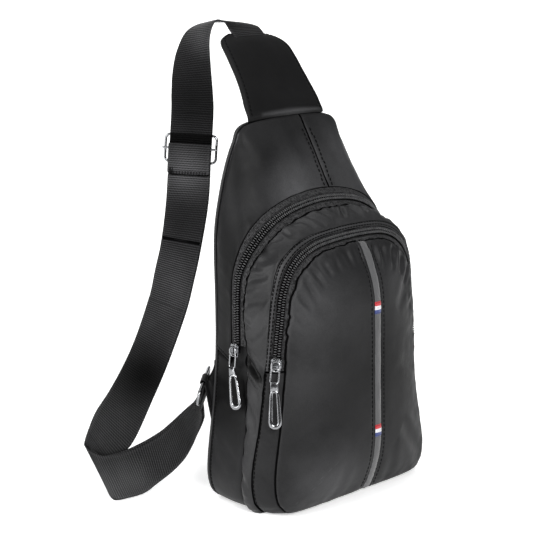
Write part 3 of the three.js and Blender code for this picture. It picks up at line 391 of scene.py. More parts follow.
def make_stitches(group, body, material, length=2.8, width=1.25, height=0.7):
    C = np.concatenate([a for a, b, c in STITCHES[group]]); T = np.concatenate([b for a, b, c in STITCHES[group]]); N = np.concatenate([c for a, b, c in STITCHES[group]])
    ob = capsules("stitching_" + group, C, T, N, length, width, height, material)
    return finish_piece(ob, body)


def grid_line(P, N, rowv, V):
    """A line on a grid at fraction V of its rows."""
    x = V * (P.shape[1] - 1); k = int(min(P.shape[1] - 2, math.floor(x))); t = x - k
    return P[:, k] * (1 - t) + P[:, k + 1] * t, unit(N[:, k] * (1 - t) + N[:, k + 1] * t)

# ---------------------------------------------------------------- materials
class Tree:
    def __init__(self, name):
        self.m = bpy.data.materials.new(name); self.m.use_nodes = True
        self.t = self.m.node_tree; self.n = self.t.nodes; self.l = self.t.links
        self.b = self.n["Principled BSDF"]
        self.co = self.n.new("ShaderNodeTexCoord")

    def node(self, kind, **kw):
        x = self.n.new(kind)
        for k, v in kw.items():
            setattr(x, k, v)
        return x

    def link(self, a, b):
        self.l.new(a, b)

    def coord(self, scale=(1, 1, 1), rot=(0, 0, 0), uv=False):
        mp = self.node("ShaderNodeMapping")
        mp.inputs["Scale"].default_value = scale; mp.inputs["Rotation"].default_value = rot
        self.link(self.co.outputs["UV" if uv else "Object"], mp.inputs["Vector"])
        return mp.outputs["Vector"]

    def noise(self, scale, detail=3, rough=0.55, vec=None, distortion=0.0):
        x = self.node("ShaderNodeTexNoise"); x.inputs["Scale"].default_value = scale; x.inputs["Detail"].default_value = detail
        x.inputs["Roughness"].default_value = rough; x.inputs["Distortion"].default_value = distortion
        self.link(vec if vec is not None else self.co.outputs["Object"], x.inputs["Vector"])
        return x.outputs["Fac"]

    def wave(self, scale, direction="X", vec=None, profile="SIN", distortion=0.0):
        x = self.node("ShaderNodeTexWave"); x.wave_type = "BANDS"; x.bands_direction = direction; x.wave_profile = profile
        x.inputs["Scale"].default_value = scale; x.inputs["Distortion"].default_value = distortion
        self.link(vec if vec is not None else self.co.outputs["Object"], x.inputs["Vector"])
        return x.outputs["Fac"]

    def voronoi(self, scale, vec=None, feature="F1"):
        x = self.node("ShaderNodeTexVoronoi"); x.feature = feature; x.inputs["Scale"].default_value = scale
        self.link(vec if vec is not None else self.co.outputs["Object"], x.inputs["Vector"])
        return x.outputs["Distance"]

    def math(self, op, a, b=None, c=None):
        x = self.node("ShaderNodeMath"); x.operation = op
        for k, v in enumerate((a, b, c)):
            if v is None: continue
            if isinstance(v, (int, float)): x.inputs[k].default_value = v
            else: self.link(v, x.inputs[k])
        return x.outputs[0]

    def ramp(self, fac, stops):
        x = self.node("ShaderNodeValToRGB"); r = x.color_ramp
        while len(r.elements) < len(stops): r.elements.new(0.5)
        for e, (p, c) in zip(r.elements, stops):
            e.position = p; e.color = (*c, 1) if len(c) == 3 else c
        self.link(fac, x.inputs["Fac"])
        return x.outputs["Color"]

    def range(self, fac, lo, hi, a=0.0, b=1.0):
        x = self.node("ShaderNodeMapRange"); x.inputs["From Min"].default_value = a; x.inputs["From Max"].default_value = b
        x.inputs["To Min"].default_value = lo; x.inputs["To Max"].default_value = hi
        self.link(fac, x.inputs["Value"])
        return x.outputs["Result"]

    def bump(self, height, strength, dist, prev=None):
        x = self.node("ShaderNodeBump"); x.inputs["Strength"].default_value = strength; x.inputs["Distance"].default_value = dist
        self.link(height, x.inputs["Height"])
        if prev is not None: self.link(prev, x.inputs["Normal"])
        return x.outputs["Normal"]

    def set(self, **kw):
        names = {"rough": "Roughness", "metal": "Metallic", "spec": "Specular IOR Level", "sheen": "Sheen Weight", "sheen_rough": "Sheen Roughness",
                 "coat": "Coat Weight", "coat_rough": "Coat Roughness", "color": "Base Color", "normal": "Normal", "sheen_tint": "Sheen Tint"}
        for k, v in kw.items():
            s = self.b.inputs[names[k]]
            if isinstance(v, (int, float)): s.default_value = v
            elif isinstance(v, tuple): s.default_value = (*v, 1)
            else: self.link(v, s)
        return self.m


def paint_light_spots(t, col, light_spots):
    """Paints light and shade into the colour round some points, as painted highlights and painted shadows: (centre mm,
    radius mm, gain).
    """
    total = None
    for c, r, g in light_spots:
        d = t.node("ShaderNodeVectorMath"); d.operation = "DISTANCE"
        t.link(t.co.outputs["Object"], d.inputs[0]); d.inputs[1].default_value = (c[0] / 1000, c[1] / 1000, (c[2] + LIFT) / 1000)
        m = t.node("ShaderNodeMapRange"); m.interpolation_type = "SMOOTHSTEP"
        m.inputs["From Min"].default_value = r / 1000; m.inputs["From Max"].default_value = 0.0
        m.inputs["To Min"].default_value = 0.0; m.inputs["To Max"].default_value = g
        t.link(d.outputs["Value"], m.inputs["Value"])
        total = m.outputs["Result"] if total is None else t.math("ADD", total, m.outputs["Result"])
    x = t.node("ShaderNodeVectorMath"); x.operation = "SCALE"
    t.link(col, x.inputs[0]); t.link(t.math("ADD", total, 1.0), x.inputs["Scale"])
    return x.outputs["Vector"]


def painted_crevice_shade(t, col, reach=0.0045, floor=0.12):
    """Painted shade in folds and seams: the colour darkens where ambient occlusion finds surfaces close by."""
    ao = t.node("ShaderNodeAmbientOcclusion"); ao.samples = 6; ao.inputs["Distance"].default_value = reach
    f = t.range(ao.outputs["AO"], floor, 1.0, 0.35, 0.85)
    x = t.node("ShaderNodeVectorMath"); x.operation = "SCALE"
    t.link(col, x.inputs[0]); t.link(f, x.inputs["Scale"])
    return x.outputs["Vector"]


def cloth(name, dark, light, rough=(0.42, 0.55), weave=0.55, weave_bump=0.10, soft_bump=0.25, sheen=0.02, spec=0.24, worn=0.15, light_spots=()):
    t = Tree(name)
    s = 2 * math.pi / (weave / 1000) / 20 * 1.0
    wx, wy, wz = t.wave(s, "X"), t.wave(s, "Y"), t.wave(s, "Z")
    w = t.math("ADD", t.math("MULTIPLY", wx, wz), t.math("MULTIPLY", wy, wz))
    broad = t.noise(22, 4, 0.6); fine = t.noise(900, 2, 0.6); mid = t.noise(110, 3, 0.55)
    # worn edges and lighter slubs
    geo = t.node("ShaderNodeNewGeometry")
    edge = t.range(geo.outputs["Pointiness"], 0.0, 1.0, 0.50, 0.56)
    shade = t.math("ADD", t.math("MULTIPLY", broad, 0.55), t.math("MULTIPLY", fine, 0.25))
    shade = t.math("ADD", shade, t.math("MULTIPLY", edge, worn))
    col = t.ramp(shade, [(0.28, dark), (0.62, light), (1.0, tuple(min(1, c * 1.7) for c in light))])
    # painted highlights and shadows round the given points, then painted shade darkening folds and seams
    if light_spots: col = paint_light_spots(t, col, light_spots)
    col = painted_crevice_shade(t, col)
    r = t.range(t.math("ADD", t.math("MULTIPLY", mid, 0.6), t.math("MULTIPLY", fine, 0.4)), rough[0], rough[1], 0.3, 0.7)
    n = t.bump(w, weave_bump, 0.00012)
    n = t.bump(mid, soft_bump, 0.0006, n)
    t.set(color=col, rough=r, normal=n, sheen=sheen, sheen_rough=0.4, spec=spec)
    return t.m


# Painted light and shade in the spots: painted highlights on the yoke, painted shadows on the left side and a painted
# contact shadow beside the main pull.
M_SHELL = cloth("nylon_shell", (0.0105, 0.0105, 0.0109), (0.0215, 0.0215, 0.0223), spec=0.085,
                light_spots=(((-22, 10, 260), 48, 3.0), ((0, 8, 282), 40, 0.9), ((50, 12, 280), 60, 1.9), ((-95, 22, 100), 62, -0.85), ((-97, 0, 108), 13, -0.8), ((-97, -1, 94), 12, -0.8), ((-92, 20, 195), 70, -0.6), ((-66, 24, 292), 48, -0.5), ((-98, 20, 20), 60, 0.1), ((97, 10, 60), 90, 0.2)))
# Painted light and shade in the spots: painted highlights on the left and low down, painted shade on the right of the
# front panel.
M_PANEL = cloth("nylon_panel", (0.011, 0.011, 0.0114), (0.0225, 0.0225, 0.0233), rough=(0.38, 0.50), spec=0.10,
                light_spots=(((-52, -50, 182), 62, 1.3), ((-62, -52, 110), 50, 0.6), ((-40, -55, 8), 66, 1.9), ((45, -52, 185), 45, 0.5), ((58, -55, 110), 90, -1.0), ((-25, -55, 90), 45, -0.35)))
# Painted light and shade in the spots: a painted shadow in the deep fold beside the front slider and a smaller one on
# the top curve, painted highlights along the middle band.
M_FACING = cloth("nylon_facing", (0.015, 0.015, 0.0155), (0.031, 0.031, 0.032), rough=(0.34, 0.46), spec=0.15,
                 light_spots=(((-93.5, -9, 133), 12, -1.0), ((-94, -15, 127), 11, -1.0), ((-93.5, -21, 121), 12, -1.0), ((-94, -14, 165), 26, 0.5), ((-62, -8, 238), 20, 0.8), ((-74, -8, 226), 9, -0.8), ((-30, -10, 248), 26, 0.4), ((-98, -14, 60), 45, 0.15), ((-95, -16, 100), 10, 0.15), ((-95, -16, 82), 10, 0.15), ((-95, -16, 64), 10, 0.15), ((-95, -16, 46), 10, 0.15)))
M_STRIP = cloth("nylon_strip", (0.027, 0.027, 0.028), (0.048, 0.048, 0.0495), rough=(0.36, 0.46), soft_bump=0.12, spec=0.15)
# Painted highlight: a row of bright spots along the foot of the pad, where its folded edge catches light.
M_PAD = cloth("nylon_pad", (0.0048, 0.0048, 0.0050), (0.0090, 0.0090, 0.0093), rough=(0.48, 0.60), soft_bump=0.15, spec=0.10,
              light_spots=tuple(((x_, 34.5, 332.6 - 0.012 * x_), 6.5 - 0.06 * abs(x_ - 4), 3.4) for x_ in range(-30, 42, 4)))
# Near-black strips under free edges, along seams, under the zip teeth and in the strap crease: painted shade, not a
# cloth of the bag.
M_SHADE_STRIP = cloth("painted_shade_strip", (0.0006, 0.0006, 0.0007), (0.0014, 0.0014, 0.0015), rough=(0.8, 0.9), soft_bump=0.1, sheen=0.0, spec=0.03, worn=0.0)
M_LINING = cloth("lining_cloth", (0.03, 0.03, 0.033), (0.05, 0.05, 0.055), rough=(0.6, 0.75))
M_FOAM = cloth("foam_sheet", (0.05, 0.05, 0.052), (0.09, 0.09, 0.095), rough=(0.8, 0.92), soft_bump=0.5)


def webbing_material(name, dark, light, rib=2.0, light_spots=()):
    t = Tree(name)
    uv = t.co.outputs["UV"]
    sx = t.node("ShaderNodeSeparateXYZ")
    t.link(uv, sx.inputs[0])
    across, along = sx.outputs[0], sx.outputs[1]      # mm
    sway = t.math("MULTIPLY", t.noise(60, 2), 1.2)
    ribs = t.math("SINE", t.math("MULTIPLY", t.math("ADD", along, sway), 2 * math.pi / rib))
    yarn = t.math("SINE", t.math("MULTIPLY", across, 2 * math.pi / 1.3))
    twill = t.math("SINE", t.math("ADD", t.math("MULTIPLY", along, 2 * math.pi / (2 * rib)), t.math("MULTIPLY", across, 2 * math.pi / 2.6)))
    h = t.math("ADD", t.math("MULTIPLY", ribs, 0.7), t.math("MULTIPLY", t.math("MULTIPLY", yarn, twill), 0.3))
    broad = t.noise(18, 4, 0.65); fine = t.noise(1200, 2, 0.6)
    hh = t.range(h, 0.0, 1.0, -0.8, 0.8)
    # raised selvedge at both sides
    edge = t.math("ABSOLUTE", t.math("SUBTRACT", across, 19.0))
    sel = t.range(edge, 0.0, 1.0, 16.6, 17.4)
    shade = t.math("ADD", t.math("MULTIPLY", hh, 0.5), t.math("ADD", t.math("MULTIPLY", broad, 0.45), t.math("MULTIPLY", fine, 0.15)))
    shade = t.math("ADD", shade, t.math("MULTIPLY", sel, 0.10))
    col = t.ramp(shade, [(0.25, dark), (0.80, light), (1.0, tuple(min(1, c * 1.3) for c in light))])
    # painted highlights and shadows round the given points, then painted shade darkening folds
    if light_spots: col = paint_light_spots(t, col, light_spots)
    col = painted_crevice_shade(t, col, 0.006)
    n = t.bump(t.math("ADD", h, t.math("MULTIPLY", sel, 0.8)), 0.8, 0.00035)
    n = t.bump(fine, 0.2, 0.0002, n)
    t.set(color=col, rough=t.range(hh, 0.66, 0.50), normal=n, sheen=0.0, sheen_rough=0.4, spec=0.05)
    return t.m


# Painted light and shade in the spots: painted shadow on the upper strap and round the ring, painted highlights on the
# crest and the lower bends, and a row of dark spots that paint the shadow beneath the tri-glide bar.
M_WEB = webbing_material("webbing_ribbed", (0.0035, 0.0035, 0.0037), (0.032, 0.032, 0.033),
                         light_spots=(((-45, 112, 345), 80, -0.8), ((-36, 105, 402), 30, 1.2), ((-60, 112, 235), 42, -0.6), ((-106, 116, 97), 54, -1.0), ((-88, 68, 88), 36, -0.9), ((-108, 76, 80), 32, -0.85), ((-80, 112, 180), 42, 0.7), ((-150, 120, 60), 34, 0.4), ((-56, 110, 278), 34, 1.6), ((-150, 105, 5), 40, 1.2))
                         + tuple(((-50.55 - 0.62064 * k - 0.15483 * -9, 111.23 + 0.78224 * k - 0.05494 * -9, 298.34 + 0.05385 * k + 0.98641 * 8.5), 7.5, -1.2) for k in range(-21, 22, 6)))
M_WEB_IN = M_WEB


def mesh_material(name):
    t = Tree(name)
    v = t.voronoi(420)
    hole = t.range(v, 0.0, 1.0, 0.15, 0.5)
    col = t.ramp(hole, [(0.0, (0.0015, 0.0015, 0.0016)), (1.0, (0.010, 0.010, 0.0105))])
    n = t.bump(hole, 0.8, 0.0005)
    t.set(color=col, rough=t.range(t.noise(300), 0.7, 0.9), normal=n, sheen=0.3, spec=0.3)
    return t.m


M_MESH = mesh_material("air_mesh")


def tape_material():
    t = Tree("zip_tape")
    uv = t.node("ShaderNodeSeparateXYZ"); t.link(t.co.outputs["UV"], uv.inputs[0])
    rib = t.math("SINE", t.math("MULTIPLY", uv.outputs[0], 2 * math.pi / 1.3))
    cross = t.math("SINE", t.math("MULTIPLY", uv.outputs[1], 2 * math.pi / 1.1))
    grain = t.noise(560, 2, 0.75)
    h = t.math("ADD", t.math("ADD", t.math("MULTIPLY", rib, 0.15), t.math("MULTIPLY", cross, 0.15)), t.math("MULTIPLY", grain, 2.2))
    hh = t.range(h, 0, 1, 0.75, 1.5)
    # painted shade darkens the tape's folds and grooves
    col = painted_crevice_shade(t, t.ramp(hh, [(0.0, (0.004, 0.004, 0.0042)), (1.0, (0.052, 0.052, 0.0535))]), 0.003)
    t.set(color=col, rough=t.range(grain, 0.60, 0.80), normal=t.bump(hh, 0.7, 0.0003), sheen=0.02, spec=0.1)
    return t.m


M_TAPE = tape_material()


def plastic(name, dark, light, rough=(0.22, 0.34)):
    t = Tree(name)
    n1, n2 = t.noise(260, 3), t.noise(1500, 2)
    t.set(color=t.ramp(n1, [(0.3, dark), (0.8, light)]), rough=t.range(n2, rough[0], rough[1], 0.3, 0.7), normal=t.bump(n2, 0.12, 0.0001), spec=0.5)
    return t.m


M_TEETH = plastic("zip_teeth", (0.026, 0.026, 0.027), (0.085, 0.085, 0.087), rough=(0.25, 0.35))
# The thread is far darker than the cloth: partly its own black, partly painted shade of the stitch holes.
M_THREAD = cloth("thread", (0.0009, 0.0009, 0.0010), (0.0022, 0.0022, 0.0023), rough=(0.7, 0.85), sheen=0.0, worn=0.0, spec=0.1)


def metal(name, dark, light, rough=(0.14, 0.26)):
    t = Tree(name)
    n1, n2, n3 = t.noise(90, 3), t.noise(700, 4), t.noise(2600, 2)
    geo = t.node("ShaderNodeNewGeometry")
    edge = t.range(geo.outputs["Pointiness"], 0.0, 0.5, 0.5, 0.6)
    c = t.math("ADD", t.math("MULTIPLY", n1, 0.7), edge)
    scratch = t.wave(140, "Z", distortion=6.0)
    r = t.range(t.math("ADD", t.math("MULTIPLY", n2, 0.8), t.math("MULTIPLY", scratch, 0.2)), rough[0], rough[1], 0.3, 0.7)
    t.set(color=t.ramp(c, [(0.2, dark), (0.75, light)]), rough=r, metal=1.0, normal=t.bump(t.math("ADD", n3, n2), 0.05, 0.0001))
    return t.m


M_METAL = metal("plated_metal", (0.14, 0.144, 0.15), (0.36, 0.364, 0.375), rough=(0.10, 0.20))
# A darker copy of the plated metal for the slider plate and cheeks: painted shade of the slider body.
M_METAL_SHADED = metal("slider_metal_shaded", (0.10, 0.105, 0.11), (0.30, 0.305, 0.32), rough=(0.12, 0.22))


def stripe_material():
    t = Tree("ribbon_grey")
    uv = t.node("ShaderNodeSeparateXYZ"); t.link(t.co.outputs["Object"], uv.inputs[0])
    rib = t.math("SINE", t.math("MULTIPLY", uv.outputs[2], 2 * math.pi / 0.0009))
    warp = t.math("SINE", t.math("MULTIPLY", uv.outputs[0], 2 * math.pi / 0.0006))
    h = t.math("ADD", t.math("MULTIPLY", rib, 0.6), t.math("MULTIPLY", warp, 0.3))
    n1 = t.noise(60, 3)
    c = t.math("ADD", t.math("MULTIPLY", n1, 0.6), t.math("MULTIPLY", t.range(h, 0, 1, -0.9, 0.9), 0.4))
    t.set(color=t.ramp(c, [(0.2, (0.040, 0.040, 0.0415)), (0.8, (0.072, 0.072, 0.0745))]), rough=t.range(n1, 0.5, 0.65), normal=t.bump(h, 0.5, 0.0002), sheen=0.3)
    return t.m


M_STRIPE = stripe_material()


def tag_material(name, zmid):
    t = Tree(name)
    xyz = t.node("ShaderNodeSeparateXYZ"); t.link(t.co.outputs["Object"], xyz.inputs[0])
    # bands across the label, in metres from its lower edge
    v = t.math("SUBTRACT", xyz.outputs[2], zmid / 1000 - 0.0055)
    f = t.math("DIVIDE", v, 0.011)
    x = t.node("ShaderNodeValToRGB"); r = x.color_ramp; r.interpolation = "CONSTANT"
    stops = [(0.0, (0.03, 0.05, 0.20)), (0.34, (0.72, 0.72, 0.74)), (0.66, (0.52, 0.02, 0.03))]
    while len(r.elements) < 3: r.elements.new(0.5)
    for e, (p, c) in zip(r.elements, stops): e.position = p; e.color = (*c, 1)
    t.link(f, x.inputs["Fac"])
    w = t.math("SINE", t.math("MULTIPLY", xyz.outputs[0], 2 * math.pi / 0.00055))
    w2 = t.math("SINE", t.math("MULTIPLY", xyz.outputs[2], 2 * math.pi / 0.0007))
    h = t.math("MULTIPLY", w, w2)
    mx = t.node("ShaderNodeMix"); mx.data_type = "RGBA"; mx.blend_type = "MULTIPLY"
    mx.inputs["Factor"].default_value = 0.35
    t.link(x.outputs["Color"], mx.inputs[6])
    t.link(t.ramp(t.range(h, 0, 1, -1, 1), [(0.0, (0.6, 0.6, 0.6)), (1.0, (1, 1, 1))]), mx.inputs[7])
    t.set(color=mx.outputs[2], rough=t.range(t.noise(400), 0.5, 0.65), normal=t.bump(h, 0.5, 0.0002), sheen=0.2)
    return t.m


# ---------------------------------------------------------------- cloth body
def arc_of(P):
    d = np.linalg.norm(np.diff(P, axis=0), axis=1)
    return np.concatenate([[0], np.cumsum(d)])


vmap = lambda v: 0.3 * v + 0.7 * (0.5 - 0.5 * np.cos(math.pi * v))       # rows crowd towards both seams
at_row = lambda v: float(np.interp(v, vmap(np.linspace(0, 1, 800)), np.linspace(0, 1, 800)))


def cloth_strip(A, B, S, rows, loop=False, bulge=0.0, pucker=(0.5, 6.0, 5.0), soft=(0.8, 45.0), seam=(0.9, 2.2), seed=1, folds=(), skew=0.0, skipA=False, skipB=False, extra=None, lipA=None, lipB=None):
    """Grid between seam lines A and B (functions of s). bulge mm outward in the middle; pucker =
    (height, wavelength along the seam, reach); soft = (height, size) of broad waves; seam = (dip, reach)."""
    S = np.asarray(S, float)
    a, b = A(S), B(S)
    v = vmap(np.arange(rows + 1) / rows)
    P = a[:, None] * (1 - v)[None, :, None] + b[:, None] * v[None, :, None]
    N = grid_normals(P, loop)
    W = np.linalg.norm(b - a, axis=-1)[:, None]
    dA, dB = v[None] * W, (1 - v)[None] * W
    H = bulge * 4 * v[None] * (1 - v[None]) * np.ones_like(W)
    # puckers run across the seam, and fade away from it
    ph, wl, reach = pucker
    for edge, dd, off, skip in ((a, dA, 0, skipA), (b, dB, 50, skipB)):
        if skip: continue
        q = edge[:, None] / wl + np.stack([0 * dd, 0 * dd, 0 * dd], -1) + skew * dd[..., None] / wl * np.array([0.3, 0.5, 1.0])
        n1 = vnoise(q + off + seed * 7.1, seed) + 0.5 * vnoise(q * 2.1 + off, seed + 3)
        env = 0.45 + 0.9 * np.clip(vnoise(edge[:, None] / 38.0 + 9.0 + seed, seed + 5) + 0.4, 0, 1.2)
        H = H + ph * n1 * env * np.exp(-dd / reach) * (1 - np.exp(-dd / 0.8))
    sh, size = soft
    fall = np.clip(np.minimum(dA if not skipA else 99, dB if not skipB else 99) / 8.0, 0, 1)
    H = H + sh * fbm(P / size + seed * 3.7, seed + 11, 3) * fall
    D = unit(b - a)[:, None]
    for lip, edge, dd, sg in ((lipA, a, dA, -1.0), (lipB, b, dB, 1.0)):
        if lip is None: continue
        h, over, amp, lw = lip
        wave = vnoise(edge / lw + seed * 1.3, seed + 21) + 0.5 * vnoise(edge / (lw * 0.45) + 4.0, seed + 22)
        P = P + D * (sg * (over + amp * wave)[:, None] * np.exp(-dd / (3.0 if over >= 0 else 8.0)))[..., None]
        H = H + h * (1 + 0.35 * wave)[:, None] * (1 - np.exp(-(dd + 0.12) / 0.7)) * np.exp(-dd / 9.0)
    dip, rr = seam
    skipA, skipB = skipA or lipA is not None, skipB or lipB is not None
    if not skipA: H = H - dip * np.exp(-(dA / rr) ** 2)
    if not skipB: H = H - dip * np.exp(-(dB / rr) ** 2)
    for f in folds:
        H = H + crease(P, *f) * np.clip(np.minimum(dA, dB) / 4.0, 0.0, 1)
    if extra is not None: H = H + extra(P, v, dA, dB)
    P = P + N * H[..., None]
    return P, grid_normals(P, loop)


def edge_shade_strip(name, P, N, first, loop=False, out=1.15, drop=0.15):
    """A near-black strip beneath a cloth's free edge: painted shadow under the turned edge."""
    a, b, n = (P[:, 0], P[:, 7], N[:, 7]) if first else (P[:, -1], P[:, -8], N[:, -8])
    d = a - b; d = unit(d - n * (d * n).sum(-1, keepdims=True))
    off = [(-0.7, -0.4), (0.1, -0.02 - drop), (0.6 * out, -0.08 - drop), (out, -0.5 - drop)]
    G = np.stack([a + d * x + n * h for x, h in off], 1)
    if first: G = G[:, ::-1]
    ob = thick_grid(name, G, grid_normals(G, loop), 0.7, M_SHADE_STRIP, loop=loop)
    return finish_piece(ob, "bag", ())


def flat_floor(P):
    """Cloth that meets the floor lies on it."""
    P = P.copy(); P[..., 2] = np.maximum(P[..., 2], -LIFT + 0.02); return P


low_s = np.concatenate([np.arange(8.0, 15.0, 0.02), np.arange(-15.0, -7.999, 0.02)])
wrap = lambda fn: (lambda s: fn(np.where(np.abs(s) >= 15, -15.0, s)))

# rear compartment, sides and base
P, N = cloth_strip(wrap(L_rearedge), wrap(L_sidestraight), low_s, 24, bulge=1.2, pucker=(0.6, 8.0, 6.0), soft=(1.1, 42), seed=2,
                   folds=[((-97, 38, 60), (-99, 6, 38), 0.9, 5.0), ((-95, 36, 104), (-97, 4, 90), 0.7, 5.0), ((96, 36, 90), (98, 6, 70), 0.9, 5.0)],
                   extra=lambda P, v, dA, dB: -2.0 * smooth(127, 134, P[..., 2] + 6 * v[None]))
P = flat_floor(P)
ob = thick_grid("side_cloth_rear", P, N, 1.3, M_SHELL)
finish_piece(ob, "bag", ("rear_gusset",))
REAR_P, REAR_N = P, N
e, en = grid_line(P, N, None, at_row(0.06)); stitch("body", e, en)

# yoke: two panels on the centre seam, crowned
def yoke_grid(s_out, seam_x, cols, rows, seed):
    """Columns run from the outer end (|s| = 8) to the centre seam; rows from the rear seam to the zip."""
    v = vmap(np.arange(rows + 1) / rows)
    out = np.zeros((cols + 1, rows + 1, 3))
    sx = seam_x + 7.5 * v
    for j, vv in enumerate(v):
        seam_x = sx[j]
        f = lambda s: L_rearedge(s) * (1 - vv) + L_mrear(s) * vv
        s = np.linspace(s_out, 0, 400) if s_out < 0 else np.linspace(0, s_out, 400)
        s = np.concatenate([np.linspace(-8, 8, 900)])
        x = f(s)[:, 0]
        i = np.argmin(np.abs(x - seam_x)); lo, hi = s[max(0, i - 1)], s[min(len(s) - 1, i + 1)]
        for _ in range(30):
            m = 0.5 * (lo + hi)
            if f(np.array([m]))[0, 0] < seam_x: lo = m
            else: hi = m
        sc = 0.5 * (lo + hi)
        k = np.linspace(0, 1, cols + 1)
        end = s_out * (1.047 + 0.026 * vv)
        out[:, j] = f(end + (sc - end) * k) if s_out < 0 else f(sc + (end - sc) * k)
    return out, v


for side, name in ((-1, "yoke_left"), (1, "yoke_right")):
    P, v = yoke_grid(8.0 * side, SEAM_X + 1.0, 300, 76, side)
    N = grid_normals(P)
    W = np.linalg.norm(P[:, -1] - P[:, 0], axis=-1)[:, None]
    dA, dB = v[None] * W, (1 - v)[None] * W
    # distance to the centre seam along the columns
    dC = np.abs(P[..., 0] - (SEAM_X + 1.0 + 7.5 * v)[None])
    H = 3.2 * (np.sin(math.pi * np.clip(v, 0, 1)) ** 0.8)[None] * np.clip((W - 18) / 45, 0, 1) * np.clip(dC / 26, 0.0, 1) ** 0.5
    H = H + 1.0 * fbm(P / 46.0 + side * 4.0, 21, 3) * np.clip(np.minimum(np.minimum(dA, dB), dC) / 10, 0, 1)
    for edge, dd, off in ((P[:, :1], dA, 0.0), (P[:, -1:], dB, 30.0)):
        q = edge / 8.5 + off + side
        H = H + 0.55 * (vnoise(q, 5) + 0.5 * vnoise(q * 2.2, 6)) * np.exp(-dd / 7) * (1 - np.exp(-dd / 0.8))
        if off == 0.0: H = H - 0.9 * np.exp(-(dd / 2.2) ** 2)
        else: H = H + 0.8 * (1 - np.exp(-(dd + 0.12) / 0.6)) * np.exp(-dd / 8.0)
    H = H - 1.0 * np.exp(-(dC / 0.9) ** 2) + 0.25 * np.exp(-((dC - (5.3 if side < 0 else 4.6)) / 2.0) ** 2)
    q = np.stack([P[..., 1] * 0, P[..., 1] / 9.0, P[..., 2] / 9.0], -1)
    H = H + 0.35 * vnoise(q + side, 8) * np.exp(-dC / 6) * (1 - np.exp(-dC / 1.0))
    dE = np.linalg.norm(P - (P[:1] if side < 0 else P[-1:]), axis=-1)
    H = H + 1.2 * (1 - np.exp(-(dE + 0.15) / 0.5)) * np.exp(-dE / 9.0) - 0.4 * np.exp(-((dE - 2.8) / 0.8) ** 2)
    for f in ([((-70, 20, 268), (-62, 4, 240), 0.6, 8.0), ((-78, 26, 236), (-88, 10, 205), 0.5, 8.0), ((-20, 24, 318), (-38, 14, 284), 0.8, 8.0), ((-8, 30, 322), (2, 14, 280), 0.7, 6.0)] if side < 0 else
              [((60, 28, 300), (74, 14, 256), 1.0, 7.0), ((30, 26, 318), (40, 14, 284), 0.8, 8.0)]):
        H = H + crease(P, *f) * np.clip(np.minimum(dA, dB) / 5, 0, 1)
    P = P + N * H[..., None]; N = grid_normals(P)
    ob = thick_grid(name + "_cloth", P, N, 1.3, M_SHELL)
    finish_piece(ob, "bag", (name,))
    edge_shade_strip(name + "_edge", P, N, False, out=0.8)
    if side < 0:
        # near-black strip along the centre seam: painted shade of the seam groove
        line_p, line_n = P[-1].copy(), N[-2].copy()
        run, tt_, nn_ = resample(line_p, 1.0, N=line_n)
        G = np.stack([run + unit(np.cross(tt_, nn_)) * x + nn_ * h for x, h in ((-0.95, 0.7), (-0.5, 1.25), (0.5, 1.25), (0.95, 0.7))], 1)
        finish_piece(thick_grid("yoke_seam_line", G, grid_normals(G), 0.5, M_SHADE_STRIP), "bag", ())
    q = np.argmin(np.abs(dE - 2.8), 0); rr_ = np.arange(P.shape[1])
    stitch("body", P[q, rr_][3:-3], N[q, rr_][3:-3], pitch=3.6)
    # near-black strip at the yoke's outer end: painted shadow under its edge
    e0 = P[0] if side < 0 else P[-1]; e1 = P[2] if side < 0 else P[-3]; en = N[1] if side < 0 else N[-2]
    dd_ = unit(e0 - e1)
    G = np.stack([e0 + dd_ * x + en * h for x, h in ((-0.5, -0.2), (0.0, 0.3), (0.9, 0.3), (1.6, -0.5))], 0)
    finish_piece(thick_grid(name + "_foot_edge", G if side > 0 else G[::-1], grid_normals(G if side > 0 else G[::-1]), 0.6, M_SHADE_STRIP), "bag", ())
    cen = P[:, 20:-1]; off = np.abs(cen[..., 0] - (SEAM_X + 1.0 + 7.5 * v)[None, 20:-1])
    pick = np.argmin(np.abs(off - (5.3 if side < 0 else 4.6)), 0); col = np.arange(cen.shape[1])
    stitch("yoke", cen[pick, col], N[:, 20:-1][pick, col], pitch=4.2, lift=0.45)

# middle section between the two zips and round the base
loop_s = np.arange(-15.0, 15.0, 0.02)
mid_folds = [((-93, -5, 136), (-93, -26, 116), 4.2, 3.4), ((-96, -6, 124), (-95, -25, 100), 1.2, 5.0), ((-98, -8, 96), (-97, -22, 70), 1.6, 5.0), ((-93, -8, 150), (-91, -24, 165), 1.4, 4.5),
             ((-92, -8, 176), (-86, -26, 190), 1.2, 4.5), ((-84, -8, 214), (-74, -22, 222), 1.6, 4.0), ((-60, -10, 238), (-50, -22, 236), 1.3, 4.5),
             ((-28, -10, 250), (-16, -22, 240), 1.2, 4.5), ((24, -9, 252), (30, -22, 238), 1.2, 4.5), ((64, -8, 240), (60, -22, 232), 1.4, 4.5), ((88, -8, 208), (84, -24, 200), 1.4, 4.5),
             ((-100, -6, 30), (-101, -16, 22), 1.0, 4.0), ((98, -6, 50), (99, -16, 40), 1.2, 5.0)]
for k_, s_ in enumerate((-7.3, -6.7, -5.9, -5.2, -4.5, -3.6, -2.7, -1.7, -0.6, 0.5, 1.6, 2.7, 3.7, 4.6, 5.4, 6.3, 7.2)):
    a_ = mix_line(L_side, L_mid, 0.06)(np.array([s_]))[0]; b_ = mix_line(L_side, L_mid, 0.45 + 0.25 * ((k_ * 7) % 5) / 4)(np.array([s_ + 0.28 * (1 if k_ % 3 else -0.6)]))[0]
    mid_folds.append((tuple(a_), tuple(b_), 0.8 + 0.8 * ((k_ * 3) % 4) / 3, 2.0 + 0.8 * ((k_ * 5) % 3)))
